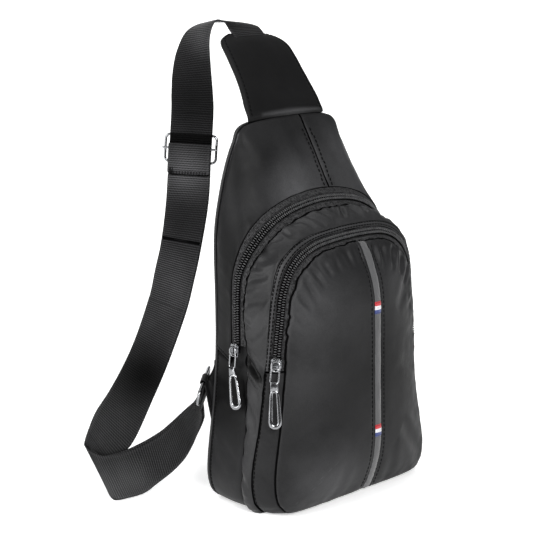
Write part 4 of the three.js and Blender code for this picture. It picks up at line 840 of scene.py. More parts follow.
P, N = cloth_strip(L_side, L_mid, loop_s, 34, loop=True, bulge=1.8, pucker=(1.0, 6.5, 6.0), soft=(1.4, 22), seed=4, folds=mid_folds, skew=0.4,
                   lipA=(1.7, -2.2, 1.1, 8.0), lipB=(0.9, 0.1, 0.35, 9.0))
P = flat_floor(P)
ob = thick_grid("middle_cloth", P, N, 1.2, M_FACING, loop=True)
finish_piece(ob, "bag", ("middle_gusset",))
MID_P, MID_N = P, N
edge_shade_strip("middle_edge_rear", P, N, True, loop=True, out=2.2, drop=-0.2)
edge_shade_strip("middle_edge_front", P, N, False, loop=True, out=0.8)
# front pocket, sides and base
fg_s = np.concatenate([np.arange(9.06, 15.0, 0.02), np.arange(-15.0, -9.059, 0.02)])
P, N = cloth_strip(wrap(L_mid), wrap(L_panel), fg_s, 24, bulge=1.5, pucker=(0.7, 7.5, 6.0), soft=(1.2, 30), seed=6,
                   folds=[((-97, -22, 70), (-88, -38, 58), 1.5, 5.0), ((-95, -26, 100), (-84, -38, 92), 1.2, 5.0), ((-100, -20, 36), (-92, -38, 24), 1.3, 5.0), ((96, -26, 90), (84, -38, 80), 1.2, 5.0), ((99, -20, 40), (92, -38, 30), 1.3, 5.0)])
P = flat_floor(P)
ob = thick_grid("pocket_side_cloth", P, N, 1.2, M_SHELL)
finish_piece(ob, "bag", ("front_gusset",))
e, en = grid_line(P, N, None, at_row(0.10)); stitch("body", e, en, pitch=4.0)


# ---------------------------------------------------------------- zips
def zip_parts(prefix, s0, rear, teeth, front, node, seed, strips=()):
    S = np.arange(-s0, s0 + 1e-6, 0.016)
    for side, seamline, tag in ((1, rear, "rear"), (-1, front, "front")):
        inner = lerp_line(teeth, seamline, 0.45)
        outer = lambda s, f=seamline, far_=(4.2 if prefix == "main_zip" and side < 0 else 0.9): f(s) + unit(f(s) - teeth(s)) * far_
        A, B = (outer, inner) if side > 0 else (inner, outer)
        # woven tape from the teeth to under the cloth, with a groove beside the teeth
        a, b = A(S), B(S); v = np.linspace(0, 1, 25)
        Pt = a[:, None] * (1 - v)[None, :, None] + b[:, None] * v[None, :, None]
        Nt = grid_normals(Pt)
        wide = np.linalg.norm(b - a, axis=-1)[:, None]
        far = wide * ((1 - v) if side > 0 else v)[None] + 0.45
        rim = wide + 0.45 - far
        h = 0.30 * vnoise(Pt / 6.5 + seed, seed) * smooth(3.5, 6, far) * smooth(1.0, 4.0, rim) - (1.1 if prefix == "main_zip" and side < 0 else 0.35) * np.exp(-rim / (4.5 if prefix == "main_zip" and side < 0 else 2.5)) - 0.55 * np.exp(-((far - 3.7) / 0.55) ** 2) - 0.15 + 0.35 * np.exp(-((far - 5.0) / 0.8) ** 2)
        Pt = Pt + Nt * h[..., None]; Nt = grid_normals(Pt)
        along = arc_of(Pt[:, 12])
        uv = np.stack([far, np.broadcast_to(along[:, None], Pt.shape[:2])], -1)
        tp = thick_grid(prefix + "_tape_" + tag + "_weave", Pt, Nt, 0.6, M_TAPE, uv=uv)
        finish_piece(tp, "bag", (node + "_tape_" + tag,))
        if tag not in strips:
            continue
        # flat nylon strip sewn over the outer part of the tape by two rows
        near = lerp_line(teeth, seamline, 5.2)
        A, B = (seamline, near) if side > 0 else (near, seamline)
        lip = (0.75, 0.0, 0.12, 8.0)
        Pc, Nc = cloth_strip(A, B, S, 16, bulge=0.15, pucker=(0.22, 5.0, 7.0), soft=(0.15, 20), seed=seed + side, seam=(0.7, 1.0), skipA=side < 0, skipB=side > 0,
                             lipA=lip if side < 0 else None, lipB=lip if side > 0 else None)
        Pc = Pc + Nc * 0.25
        fc = thick_grid(prefix + "_strip_" + tag, Pc, Nc, 0.9, M_STRIP)
        finish_piece(fc, "bag", ())
        edge_shade_strip(prefix + "_strip_edge", Pc, Nc, side < 0, out=0.7)
        for row in (0.24, 0.80):
            e, en = grid_line(Pc, Nc, None, at_row(row)); stitch("zips", e, en, pitch=3.4)
    # teeth: two interleaved rows of small rounded bars
    c = teeth(S); nb = unit(rear(S) - c) - unit(front(S) - c); nb = unit(nb)
    tt = unit(np.gradient(c, axis=0)); nn = unit(np.cross(-nb, tt)) * 1.0
    # outward: away from the bag's middle line
    cen = np.array([0, 8.0, 120.0]); flip = np.sign(((c - cen) * nn).sum(-1, keepdims=True)); nn = nn * np.where(flip == 0, 1, flip)
    S2 = resample(c, 1.0, N=nn); side_ = unit(np.cross(S2[1], S2[2]))
    # near-black bed beneath the teeth: painted shade in the gaps between them
    G = np.stack([S2[0] + side_ * x_ + S2[2] * h_ for x_, h_ in ((-3.3, -0.3), (-2.9, 0.12), (0, 0.3), (2.9, 0.12), (3.3, -0.3))], 1)
    GN = grid_normals(G); 
    if (GN * S2[2][:, None]).sum() < 0: GN = -GN
    finish_piece(thick_grid(prefix + "_tooth_bed", G, GN, 0.5, M_SHADE_STRIP), "bag", ())
    pitch = 2.2
    for k, (sgn, tag) in enumerate(((1, "rear"), (-1, "front"))):
        R, T, M = resample(c, pitch, N=nn)
        R = R + T * (pitch / 2 * k)
        Bd = unit(np.cross(T, M)); ref = np.stack([np.interp(np.linspace(0, 1, len(R)), np.linspace(0, 1, len(c)), nb[:, q]) for q in range(3)], -1)
        Bd = Bd * np.sign((Bd * ref).sum(-1, keepdims=True)) * sgn
        C = R + Bd * 1.6 + M * 0.85
        tb = capsules(prefix + "_teeth_" + tag + "_row", C, Bd, M, 2.7, 1.0, 2.1, M_TEETH)
        finish_piece(tb, "bag", (node + "_teeth_" + tag,))
    return S


zip_parts("main_zip", 8.0, L_mrear, L_mteeth, L_side, "main_zip", 31)
zip_parts("front_zip", 9.0, L_mid, L_fteeth, L_panel, "front_zip", 41, strips=("rear",))

# ---------------------------------------------------------------- front panel
def panel_point(s, k):
    e = L_panel(s); ez = L_panel(-np.abs(s))[..., 2]
    cz = np.clip(ez, 60, 165)
    f = 1 - (1 - k) ** 2.4
    return np.stack([e[..., 0] * (1 - k), e[..., 1] + (CROWN_Y - e[..., 1]) * f, e[..., 2] + (cz - e[..., 2]) * k], -1)


def panel_height(P, d_edge):
    x, z = P[..., 0], P[..., 2]
    H = 0.9 * fbm(P / 48.0 + 3.0, 51, 3) * np.clip(d_edge / 14, 0, 1)
    q = np.stack([x / 9.0, z * 0, z / 9.0], -1)
    H = H + (0.6 + 0.8 * smooth(90, 170, z)) * (vnoise(q, 52) + 0.5 * vnoise(q * 2.1, 53)) * np.exp(-d_edge / 8) * (1 - np.exp(-d_edge / 0.9))
    H = H + (0.7 + 1.0 * smooth(90, 140, z)) * (1 - np.exp(-(d_edge + 0.12) / 0.7)) * np.exp(-d_edge / 9.0)
    ds = np.abs(np.abs(x - STRIPE_X) - STRIPE_HALF)
    for xx in (STRIPE_X - STRIPE_HALF - 4.0, STRIPE_X + STRIPE_HALF + 4.0):
        H = H - 0.4 * np.exp(-((x - xx) / 0.7) ** 2)
    q = np.stack([0 * x, 0 * x, z / 8.0], -1)
    H = H - 0.7 * np.exp(-(ds / 1.5) ** 2) + 0.22 * vnoise(q + np.sign(x - STRIPE_X)[..., None] * 3, 54) * np.exp(-ds / 6)
    for f in [((-66, -48, 196), (-40, -54, 168), 1.1, 6.0), ((-76, -45, 150), (-52, -52, 132), 0.9, 7.0), ((-84, -44, 60), (-50, -54, 78), 0.9, 8.0), ((-86, -42, 18), (-56, -52, 44), 1.5, 7.0),
              ((84, -44, 18), (54, -52, 46), 1.4, 7.0), ((70, -46, 188), (46, -54, 164), 1.0, 6.0), ((-71, -42, 196), (-58, -48, 178), 1.5, 2.6), ((-62, -42, 206), (-52, -49, 186), 1.3, 2.4), ((-52, -42, 213), (-44, -49, 196), 1.2, 2.6), ((-40, -42, 219), (-34, -49, 203), 1.0, 2.4), ((-26, -42, 222), (-24, -49, 206), 1.0, 2.6),
              ((-10, -42, 223), (-8, -49, 207), 0.9, 2.4), ((4, -42, 224), (6, -49, 208), 0.9, 2.2), ((24, -42, 224), (22, -49, 204), 1.3, 2.6), ((36, -42, 222), (30, -49, 200), 1.6, 3.0), ((50, -42, 218), (42, -49, 198), 1.4, 2.6), ((62, -42, 210), (54, -49, 192), 1.3, 2.6),
              ((72, -42, 200), (60, -48, 182), 1.2, 2.6), ((-77, -43, 176), (-66, -48, 168), 1.1, 2.6), ((-79, -43, 158), (-70, -48, 152), 1.0, 2.4), ((79, -43, 170), (68, -48, 160), 1.0, 2.6),
              ((-30, -44, 6), (-24, -52, 34), 0.9, 6.0), ((40, -44, 6), (34, -52, 36), 0.9, 6.0), ((78, -46, 100), (56, -54, 112), 0.7, 7.0)]:
        H = H + crease(P, *f) * np.clip(d_edge / 6, 0, 1)
    return H


def build_panel():
    S = np.arange(-15.0, 15.0, 0.03); K = np.concatenate([np.linspace(0, 0.3, 34)[:-1], np.linspace(0.3, 1, 50)])
    SS, KK = np.meshgrid(S, K, indexing="ij")
    P = panel_point(SS, KK)
    edge = panel_point(S, 0 * S)
    # true distance to the seam in the X-Z plane
    from mathutils.kdtree import KDTree
    dense = panel_point(np.arange(-15, 15, 0.01), 0 * np.arange(-15, 15, 0.01))
    kd = KDTree(len(dense))
    for i, p in enumerate(dense): kd.insert((p[0], 0, p[2]), i)
    kd.balance()
    D = np.array([kd.find((p[0], 0, p[2]))[2] for p in P.reshape(-1, 3)]).reshape(P.shape[:2])
    H = panel_height(P, D)
    wave = vnoise(edge / 7.0 + 2.0, 57) + 0.5 * vnoise(edge / 3.2 + 5.0, 58)
    over = smooth(90, 150, edge[:, 2]) * (1.2 + 1.1 * wave)
    P = P + (unit(edge - P[:, 3]) * over[:, None])[:, None] * np.exp(-D / 3.0)[..., None]
    N = grid_normals(P, True); N[:, -1] = np.array([0, -1, 0])
    P = P + N * H[..., None]
    Ng = grid_normals(P, True)
    # near-black strip under the panel's free edge: painted shadow
    n_ = Ng[:, 9]; d_ = P[:, 0] - P[:, 9]; d_ = unit(d_ - n_ * (d_ * n_).sum(-1, keepdims=True))
    G = np.stack([P[:, 0] + d_ * x_ + n_ * h_ for x_, h_ in ((-0.7, -0.4), (0.1, -0.1), (0.8, -0.15), (1.5, -0.6))], 1)[:, ::-1]
    finish_piece(thick_grid("front_panel_edge", G, grid_normals(G, True), 0.7, M_SHADE_STRIP, loop=True), "bag", ())
    n, m = P.shape[:2]
    me = bpy.data.meshes.new("panel_all")
    V = P.reshape(-1, 3).copy(); V[:, 2] += LIFT; V /= 1000
    i = np.arange(n); k = (i + 1) % n; j = np.arange(m - 1)
    I, J = np.meshgrid(i, j, indexing="ij"); KI = np.broadcast_to(k[:, None], I.shape)
    F = np.stack([I * m + J, I * m + J + 1, KI * m + J + 1, KI * m + J], -1).reshape(-1, 4)
    me.from_pydata(V.tolist(), [], F.tolist())
    bm = bmesh.new(); bm.from_mesh(me)
    bmesh.ops.remove_doubles(bm, verts=bm.verts, dist=0.00004)
    bmesh.ops.dissolve_degenerate(bm, edges=bm.edges, dist=0.00001)
    bmesh.ops.recalc_face_normals(bm, faces=bm.faces)
    c = sum((f.normal.y for f in bm.faces), 0.0)
    if c > 0: bmesh.ops.reverse_faces(bm, faces=bm.faces)
    return bm


def cut_panel(bm0, lo, hi, name, material, node, lift=0.0):
    bm = bm0.copy()
    if lo is not None:
        bmesh.ops.bisect_plane(bm, geom=bm.verts[:] + bm.edges[:] + bm.faces[:], plane_co=(lo / 1000, 0, 0), plane_no=(-1, 0, 0), clear_outer=True)
    if hi is not None:
        bmesh.ops.bisect_plane(bm, geom=bm.verts[:] + bm.edges[:] + bm.faces[:], plane_co=(hi / 1000, 0, 0), plane_no=(1, 0, 0), clear_outer=True)
    if lift:
        for v in bm.verts: v.co.y -= lift / 1000
    me = bpy.data.meshes.new(name); bm.to_mesh(me); bm.free()
    me.polygons.foreach_set("use_smooth", [True] * len(me.polygons)); me.update()
    me.materials.append(material)
    ob = bpy.data.objects.new(name, me); COL.objects.link(ob)
    s = ob.modifiers.new("thickness", "SOLIDIFY"); s.thickness = 0.0012; s.offset = -1; s.use_even_offset = False
    finish_piece(ob, "bag", node)
    return ob


bm0 = build_panel()
pl = cut_panel(bm0, None, STRIPE_X - STRIPE_HALF, "front_panel_left_cloth", M_PANEL, ("front_panel_left",))
pr = cut_panel(bm0, STRIPE_X + STRIPE_HALF, None, "front_panel_right_cloth", M_PANEL, ("front_panel_right",))
st = cut_panel(bm0, STRIPE_X - STRIPE_HALF, STRIPE_X + STRIPE_HALF, "front_stripe_ribbon", M_STRIPE, ("front_stripe",), lift=0.25)

from mathutils.bvhtree import BVHTree
panel_tree = BVHTree.FromBMesh(bm0)


def on_panel(x, z, lift=0.0):
    h = panel_tree.ray_cast(Vector((x / 1000, -0.2, (z + LIFT) / 1000)), Vector((0, 1, 0)))
    if h[0] is None: return None
    n = h[1]; n = -n if n.y > 0 else n
    p = np.array(h[0]) * 1000; p[2] -= LIFT
    return p + np.array(n) * lift, np.array(n)


def panel_run(x, z0, z1, step=1.0, lift=0.0):
    pts = [on_panel(x, z, lift) for z in np.arange(z0, z1, step)]
    pts = [q for q in pts if q is not None]
    return np.array([q[0] for q in pts]), np.array([q[1] for q in pts])


for x in (STRIPE_X - STRIPE_HALF - 4.0, STRIPE_X + STRIPE_HALF + 4.0):
    a, b = panel_run(x, 1.5, 221.0, lift=0.1); stitch("panel", a, b, pitch=4.2)
# near-black strips along both edges of the ribbon: painted shade of its seams
for x, w_ in ((STRIPE_X + STRIPE_HALF + 0.5, 0.6), (STRIPE_X - STRIPE_HALF - 0.3, 0.35)):
    a, b = panel_run(x, 1.0, 221.5, lift=0.12)
    G = np.stack([a + np.array([k_ * w_, 0, 0]) - np.array([0, h_, 0]) for k_, h_ in ((-1, -0.25), (0, 0.1), (1, -0.25))], 1)
    finish_piece(thick_grid("stripe_seam_%d" % (x > STRIPE_X), G, grid_normals(G), 0.4, M_SHADE_STRIP), "bag", ())

# labels sewn across the ribbon
for name, z in (("tag_upper", 168.0), ("tag_lower", 56.5)):
    xs = np.linspace(-3.9, 3.9, 13); zs = np.linspace(-5.5, 5.5, 15)
    G = np.zeros((13, 15, 3)); GN = np.zeros((13, 15, 3))
    for a, dx in enumerate(xs):
        for b, dz in enumerate(zs):
            p, n = on_panel(STRIPE_X + dx, z + dz)
            r = (abs(dx) / 3.9) ** 6 * 0.35 + (abs(dz) / 5.5) ** 8 * 0.35
            G[a, b] = p + n * (0.85 - r); GN[a, b] = n
    t = thick_grid(name + "_label", G, GN, 0.55, tag_material("woven_" + name, z + LIFT))
    finish_piece(t, "bag", (name,))
    for dz in (-4.6, 4.6):
        a = np.array([on_panel(STRIPE_X + dx, z + dz, 0.95)[0] for dx in xs]); b = np.array([on_panel(STRIPE_X + dx, z + dz)[1] for dx in xs])
        stitch("labels", a, b, pitch=1.5)
bm0.free()

# ---------------------------------------------------------------- back panel
def back_point(s, k):
    e = L_rear(s); ez = L_rear(-np.abs(s))[..., 2]
    cz = np.clip(ez, 90, 250)
    return np.stack([e[..., 0] * (1 - k), 0 * s + 43.0, e[..., 2] + (cz - e[..., 2]) * k], -1)


S = np.arange(-15.0, 15.0, 0.04); K = np.concatenate([np.linspace(0, 0.25, 24)[:-1], np.linspace(0.25, 1, 56)])
SS, KK = np.meshgrid(S, K, indexing="ij")
P = back_point(SS, KK)
dense = back_point(np.arange(-15, 15, 0.02), 0 * np.arange(-15, 15, 0.02))
from mathutils.kdtree import KDTree
kd = KDTree(len(dense))
for i, p in enumerate(dense): kd.insert((p[0], 0, p[2]), i)
kd.balance()
D = np.array([kd.find((p[0], 0, p[2]))[2] for p in P.reshape(-1, 3)]).reshape(P.shape[:2])
x, z = P[..., 0], P[..., 2]
# two sewn channels divide the padding, a third crosses them low down
ch = np.minimum(np.abs(np.abs(x) - (30 + 0.05 * z)), np.abs(z - (96 + 0.25 * np.abs(x))) )
H = 4.2 * (1 - np.exp(-D / 9.0)) - 2.6 * np.exp(-(ch / 4.5) ** 2) * np.clip(D / 8, 0, 1) + 0.35 * fbm(P / 30.0, 71, 2)
P[..., 1] = 42.0 + H
n, m = P.shape[:2]
V = P.reshape(-1, 3)
i = np.arange(n); k = (i + 1) % n; j = np.arange(m - 1)
I, J = np.meshgrid(i, j, indexing="ij"); KI = np.broadcast_to(k[:, None], I.shape)
F = np.stack([I * m + J, KI * m + J, KI * m + J + 1, I * m + J + 1], -1).reshape(-1, 4)
ob = make_mesh("back_panel_mesh", V, F.tolist(), M_MESH)
bm = bmesh.new(); bm.from_mesh(ob.data)
bmesh.ops.remove_doubles(bm, verts=bm.verts, dist=0.00005)
bmesh.ops.dissolve_degenerate(bm, edges=bm.edges, dist=0.00001)
bmesh.ops.recalc_face_normals(bm, faces=bm.faces)
if sum(f.normal.y for f in bm.faces) < 0: bmesh.ops.reverse_faces(bm, faces=bm.faces)
bm.to_mesh(ob.data); bm.free()
s = ob.modifiers.new("thickness", "SOLIDIFY"); s.thickness = 0.0016; s.offset = -1
finish_piece(ob, "bag", ("back_skin",))
# binding round the rear seam
S = np.arange(-15.0, 15.0, 0.05)
R = L_rear(S); R[:, 1] = 41.6
c = np.array([0, 41.6, 150.0]); out = unit((R - c) * np.array([1, 0, 1]))
R = R - out * 1.2; R[:, 2] = np.maximum(R[:, 2], -LIFT + 1.6)
ob = sweep("rear_binding", R, 1.5, M_FACING, closed=True, sides=10)
finish_piece(ob, "bag", ())

for g in ("body", "zips", "panel"):
    make_stitches(g, "bag", M_THREAD)
make_stitches("yoke", "bag", M_THREAD, length=2.9, width=1.3)
make_stitches("labels", "bag", M_THREAD, length=1.0, width=0.35, height=0.3)

# ---------------------------------------------------------------- shoulder pad
PADA = np.array(PAD, float)


def pad_at(u):
    k = np.minimum(np.floor(u), len(PAD) - 2).astype(int); t = (u - k)[:, None]
    g = lambda d: PADA[np.clip(k + d, 0, len(PAD) - 1)]
    return cubic(g(-1), g(0), g(1), g(2), t)


def pad_grid(u0, u1, nu, rows, inset, crown, depth):
    u = np.linspace(u0, u1, nu); c = pad_at(u); c2 = pad_at(np.minimum(u + 0.01, u1)); c1 = pad_at(np.maximum(u - 0.01, u0))
    tan = unit(np.stack([0 * u, (c2 - c1)[:, 0], (c2 - c1)[:, 1]], -1)); nrm = np.stack([0 * u, -tan[:, 2], tan[:, 1]], -1)
    w = np.linspace(-1, 1, rows + 1)
    hw = (c[:, 2] - inset)[:, None]
    P = np.stack([w[None] * hw + 0.5, np.broadcast_to(c[:, :1], (nu, rows + 1)), c[:, 1:2] - w[None] * c[:, 3:4]], -1)
    P = P + nrm[:, None] * (-1.6 * w * w)[None, :, None]
    d_side = (1 - np.abs(w))[None] * hw
    arc = arc_of(np.stack([0 * u, c[:, 0], c[:, 1]], -1)); d_end = np.minimum(arc, arc[-1] - arc)[:, None]
    d = np.minimum(d_side, d_end)
    H = depth + crown * (1 - np.exp(-d / 7.0))
    return P, np.broadcast_to(nrm[:, None], P.shape).copy(), H, d_side, arc, w


P, Nn, H, ds, arc, w = pad_grid(0.0, 6.0, 150, 70, 0.0, 0.5, -0.2)
P[..., 0] -= 3.0 * (np.clip(w, 0, 1) ** 2)[None] * (1 - smooth(0, 22, arc))[:, None]
P[..., 0] += 2.6 * (np.clip(-w, 0, 1) ** 2)[None] * smooth(0, 45, arc)[:, None] * (1 - smooth(70, 88, arc))[:, None]
H = H + 0.35 * fbm(P / 30.0, 81, 3) * np.clip(ds / 8, 0, 1)
q = np.stack([0 * P[..., 0] + np.sign(P[..., 0]) * 3, P[..., 1] / 7.0, P[..., 2] / 7.0], -1)
H = H + 0.2 * vnoise(q, 82) * np.exp(-ds / 5) - 0.3 * np.exp(-((ds - 3.0) / 0.9) ** 2)
base = arc[:, None]
mid_ = (1 - np.clip(np.abs(w), 0, 1) ** 4)[None]
H = H + 1.0 * mid_ * np.exp(-((base - 2.4) / 1.8) ** 2) - 1.7 * np.exp(-(base / 1.3) ** 2) - 0.4 * mid_ * np.exp(-((base - 7.0) / 2.2) ** 2)
PF = P + Nn * H[..., None]; NF = grid_normals(PF)
if (NF * Nn).sum() < 0: NF = -NF
# closed pillow: the face, an edge roll, and the underside
PB = P + Nn * (-2.6 - 2.4 * smooth(0, 14, arc)[:, None] - 0.7 * (1 - np.exp(-np.minimum(ds, 20) / 6)))[..., None]
n, m = P.shape[:2]
V = np.concatenate([PF.reshape(-1, 3), PB.reshape(-1, 3)])


def two_sided(name, PF, PB, mat_f, mat_b, mid_rows=2, roll=1.1):
    """Closed body between a face grid and a back grid, with a rounded edge."""
    n, m = PF.shape[:2]
    V = [PF.reshape(-1, 3), PB.reshape(-1, 3)]
    o = n * m
    ring = [(i, 0) for i in range(n)] + [(n - 1, j) for j in range(1, m)] + [(i, m - 1) for i in range(n - 2, -1, -1)] + [(0, j) for j in range(m - 2, 0, -1)]
    F, mats = [], []
    for i in range(n - 1):
        for j in range(m - 1):
            a, b, c, d = i * m + j, (i + 1) * m + j, (i + 1) * m + j + 1, i * m + j + 1
            F.append((a, b, c, d)); mats.append(0)
            F.append((o + a, o + d, o + c, o + b)); mats.append(1)
    rows = [[i * m + j for i, j in ring]]
    cen = PF.reshape(-1, 3).mean(0)
    extra = []; start = 2 * o
    for r in range(1, mid_rows + 1):
        t = r / (mid_rows + 1)
        ids = []
        for q, (i, j) in enumerate(ring):
            pf, pb = PF[i, j], PB[i, j]
            i2, j2 = min(max(i, 1), n - 2), min(max(j, 1), m - 2)
            outw = pf - PF[i2, j2]; l = np.linalg.norm(outw); outw = outw / l if l > 1e-9 else 0 * outw
            p = pf * (1 - t) + pb * t + outw * roll * math.sin(math.pi * t)
            extra.append(p); ids.append(start); start += 1
        rows.append(ids)
    rows.append([o + i * m + j for i, j in ring])
    for a, b in zip(rows, rows[1:]):
        for q in range(len(ring)):
            w = (q + 1) % len(ring)
            F.append((a[q], a[w], b[w], b[q])); mats.append(0)
    V.append(np.array(extra))
    ob = make_mesh(name, np.concatenate(V), F, mat_f)
    ob.data.materials.append(mat_b)
    ob.data.polygons.foreach_set("material_index", mats)
    fix_normals(ob)
    return ob


ob = two_sided("shoulder_pad_cover", PF, PB, M_PAD, M_MESH, mid_rows=4, roll=1.2)
finish_piece(ob, "bag", ("pad_face", "pad_foam", "pad_back"))
for frac in (0.036, 0.964):
    e, en = grid_line(PF, NF, None, frac); stitch("pad", e[4:-6], en[4:-6], pitch=4.0)
make_stitches("pad", "bag", M_THREAD)

# ---------------------------------------------------------------- webbing
E1 = np.array([e[0] for e in ENDS], float); E2 = np.array([e[1] for e in ENDS], float)
WEB_T, WEB_W = 1.3, 38.0
WEB_N = len(E1) - 1; WEB_END = WEB_N - 0.75
U_INNER = 17.2


def edge_at(A, u):
    u = np.asarray(u, float); k = np.minimum(np.floor(u), len(A) - 2).astype(int); t = (u - k)[:, None]
    g = lambda d: A[np.clip(k + d, 0, len(A) - 1)]
    return cubic(g(-1), g(0), g(1), g(2), t)


def web_frame(u):
    u = np.asarray(u, float); e = 0.02
    a, b = edge_at(E1, u), edge_at(E2, u)
    u0, u1 = np.maximum(0, u - e), np.minimum(WEB_N, u + e)
    d1 = unit(edge_at(E1, u1) - edge_at(E1, u0)); d2 = unit(edge_at(E2, u1) - edge_at(E2, u0))
    w = a - b
    n = unit(np.cross(d1 + d2, w))
    return a, b, w, n, 0.5 * (a + b)


gO = np.array([-50.55, 111.23, 298.34]); gDown = np.array([-0.15483, -0.05494, -0.98641]); gW = np.array([-0.62064, 0.78224, 0.05385]); gN = np.array([-0.76866, -0.62055, 0.15521])
PLY_SIDE = 1.0 if (web_frame(np.array([8.69]))[3][0] @ gN) > 0 else -1.0
U_TAIL = 9.40


def off_b(u):
    return PLY_SIDE * (2.1 + 0.6 * smooth(11, 13, u) * (1 - smooth(16, 17.8, u)))


def raise_b(u):
    return 5 * smooth(21.5, 25, u) * (1 - smooth(27.5, 30, u))


def web_root(name, stations):
    """The end of the webbing where it comes out from under the pad."""
    global E1, E2, WEB_N
    keep_ = E1, E2, WEB_N
    E1 = np.array([q[0] for q in stations], float); E2 = np.array([q[1] for q in stations], float); WEB_N = len(E1) - 1
    web_piece(name, 0.0, 2.05, 0.0, 0.0, (), 11, curl=0.25, along0=-18.0)
    E1, E2, WEB_N = keep_


def web_piece(name, u0, u1, off, rise, nodes, seed, curl=0.25, body="bag", along0=0.0):
    """A ply of webbing: closed, with slightly swollen woven edges. The across coordinate is in mm."""
    uu = np.linspace(u0, u1, 1200)
    a, b, w, n, m = web_frame(uu)
    arc = arc_of(m); step = 1.25; cnt = max(8, int(arc[-1] / step))
    u = np.interp(np.linspace(0, arc[-1], cnt), arc, uu)
    a, b, w, n, m = web_frame(u)
    r = unit(w) * (rise(u) if callable(rise) else rise * np.ones_like(u))[:, None]
    o = off(u) if callable(off) else off * np.ones_like(u)
    a, b = a + r, b + r
    t = np.linspace(0, 1, 17)
    P = a[:, None] * (1 - t)[None, :, None] + b[:, None] * t[None, :, None]
    al = np.linspace(0, arc[-1], cnt) + along0
    c = (2 * t - 1)[None, :]
    wob = (0.18 if "running" in name else 0.35) * vnoise(np.stack([al / 40, 0 * al, 0 * al], -1) + seed, seed)[:, None] * c ** 2 + curl * (c ** 2 - 0.4)
    Nn = n[:, None] * np.ones((1, len(t), 1))
    P = P + Nn * (o[:, None] + wob)[..., None]
    half = WEB_T / 2 * (1 + 0.10 * np.exp(-((1 - np.abs(c)) / 0.07) ** 2)) * np.ones_like(P[..., 0])
    top, bot = P + Nn * half[..., None], P - Nn * half[..., None]
    # outer rounding of the edges
    e0, e1 = P[:, 0] + unit(w) * 0.35, P[:, -1] - unit(w) * 0.35
    ring = np.concatenate([top, e1[:, None], bot[:, ::-1], e0[:, None]], 1)
    k = ring.shape[1]
    across = np.concatenate([t * WEB_W, [WEB_W + 0.6], t[::-1] * WEB_W, [-0.6]])
    uv = np.stack([np.broadcast_to(across, ring.shape[:2]), np.broadcast_to(al[:, None], ring.shape[:2])], -1)
    F = []
    i = np.arange(cnt - 1)[:, None]; j = np.arange(k)[None]; l = (j + 1) % k
    F += np.stack([i * k + j, i * k + l, (i + 1) * k + l, (i + 1) * k + j], -1).reshape(-1, 4).tolist()
    F.append(list(range(k))[::-1]); F.append([(cnt - 1) * k + q for q in range(k)])
    ob = make_mesh(name, ring.reshape(-1, 3), F, M_WEB, uv=uv.reshape(-1, 2))
    fix_normals(ob)
    if body:
        finish_piece(ob, body, nodes)
    return ob, top, bot, Nn, al


web_root("strap_webbing_root", [([18.6, 80.0, 391.0], [-18.6, 79.0, 391.5]), ([18.8, 87.0, 398.5], [-19.2, 85.0, 399.0]), ENDS[0], ENDS[1]])
up_o, _, _, _, _ = web_piece("strap_webbing_upper", 0.02, 8.0, 0.0, 0.0, ("strap_upper",), 1)
run_o, rt, rb, rn, _ = web_piece("strap_webbing_running", 8.0, 19.0, 0.0, 0.0, ("strap_running",), 2, curl=0.08, along0=160.0)
# lower ends run on to the ring
lo_o, lt, lb, ln, _ = web_piece("strap_webbing_lower_outer", 19.0, WEB_END, 0.0, 0.0, (), 3, body=None, along0=420.0)
li_o, it, ib, inn, _ = web_piece("strap_webbing_lower_inner", U_INNER + 0.02, WEB_END, off_b, raise_b, (), 4, body=None, along0=80.0)
sl_o, _, _, _, _ = web_piece("strap_webbing_sewn_lower", 12.96, U_INNER, off_b, raise_b, ("strap_sewn_lower",), 5)
su_o, st_top, st_bot, su_n, _ = web_piece("strap_webbing_sewn_upper", U_TAIL, 13.0, off_b, raise_b, (), 6, body=None)

# the pressed crease across the sewn ply, drawn as a near-black strip: painted shade in the crease
_a, _b, _w, _n, _m = web_frame(np.array([10.86])); _t = np.linspace(0.02, 0.98, 40)[:, None]
_line = _a[0] * (1 - _t) + _b[0] * _t + _n[0] * (off_b(np.array([10.86]))[0] + PLY_SIDE * (WEB_T / 2 + 0.0))
_al = unit(np.cross(_n[0], unit(_w[0])))
_G = np.stack([_line + _al * x_ + _n[0] * PLY_SIDE * h_ for x_, h_ in ((-1.3, -0.3), (-0.9, 0.12), (-0.3, 0.12), (0.0, -0.22), (0.5, -0.2), (0.9, 0.1), (1.3, -0.25))], 1)
crease_ob = thick_grid("strap_pressed_crease", _G, grid_normals(_G), 0.3, M_SHADE_STRIP)
bend0 = web_frame(np.array([27.4]))[4][0]; bend1 = web_frame(np.array([WEB_END]))[4][0]
for ob, node in ((lo_o, "strap_lower_outer"), (li_o, "strap_lower_inner")):
    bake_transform(ob)
    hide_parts(node)
t0 = web_frame(np.array([13.0]))[4][0]; t1 = web_frame(np.array([U_TAIL]))[4][0]
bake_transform(su_o)
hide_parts("strap_sewn_upper")
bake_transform(crease_ob)

# ---------------------------------------------------------------- tri-glide and its loop
gUp = -gDown
gZ = unit(np.cross(gW, gUp))
sgn = 1.0 if gZ @ gN > 0 else -1.0
FRAME_W, FRAME_H, WIRE = 49.0, 27.0, 2.4
frameZ = -sgn * (WEB_T / 2 + 0.45 + WIRE / 2)
barZ = sgn * (WEB_T / 2 + 0.4 + WEB_T + 0.3 + 1.0)
at_g = lambda x, y, z: gO + np.multiply.outer(np.asarray(x, float), gW) + np.multiply.outer(np.asarray(y, float), gUp) + np.multiply.outer(np.asarray(z, float), gZ)
rr = rounded_rect(FRAME_W - WIRE, FRAME_H - WIRE, 4.2)
ob = sweep("triglide_wire", at_g(rr[:, 0], rr[:, 1], 0 * rr[:, 0] + frameZ), WIRE / 2, M_METAL, sides=16, normal=gZ)
finish_piece(ob, "triglide_frame", ("triglide_frame",))


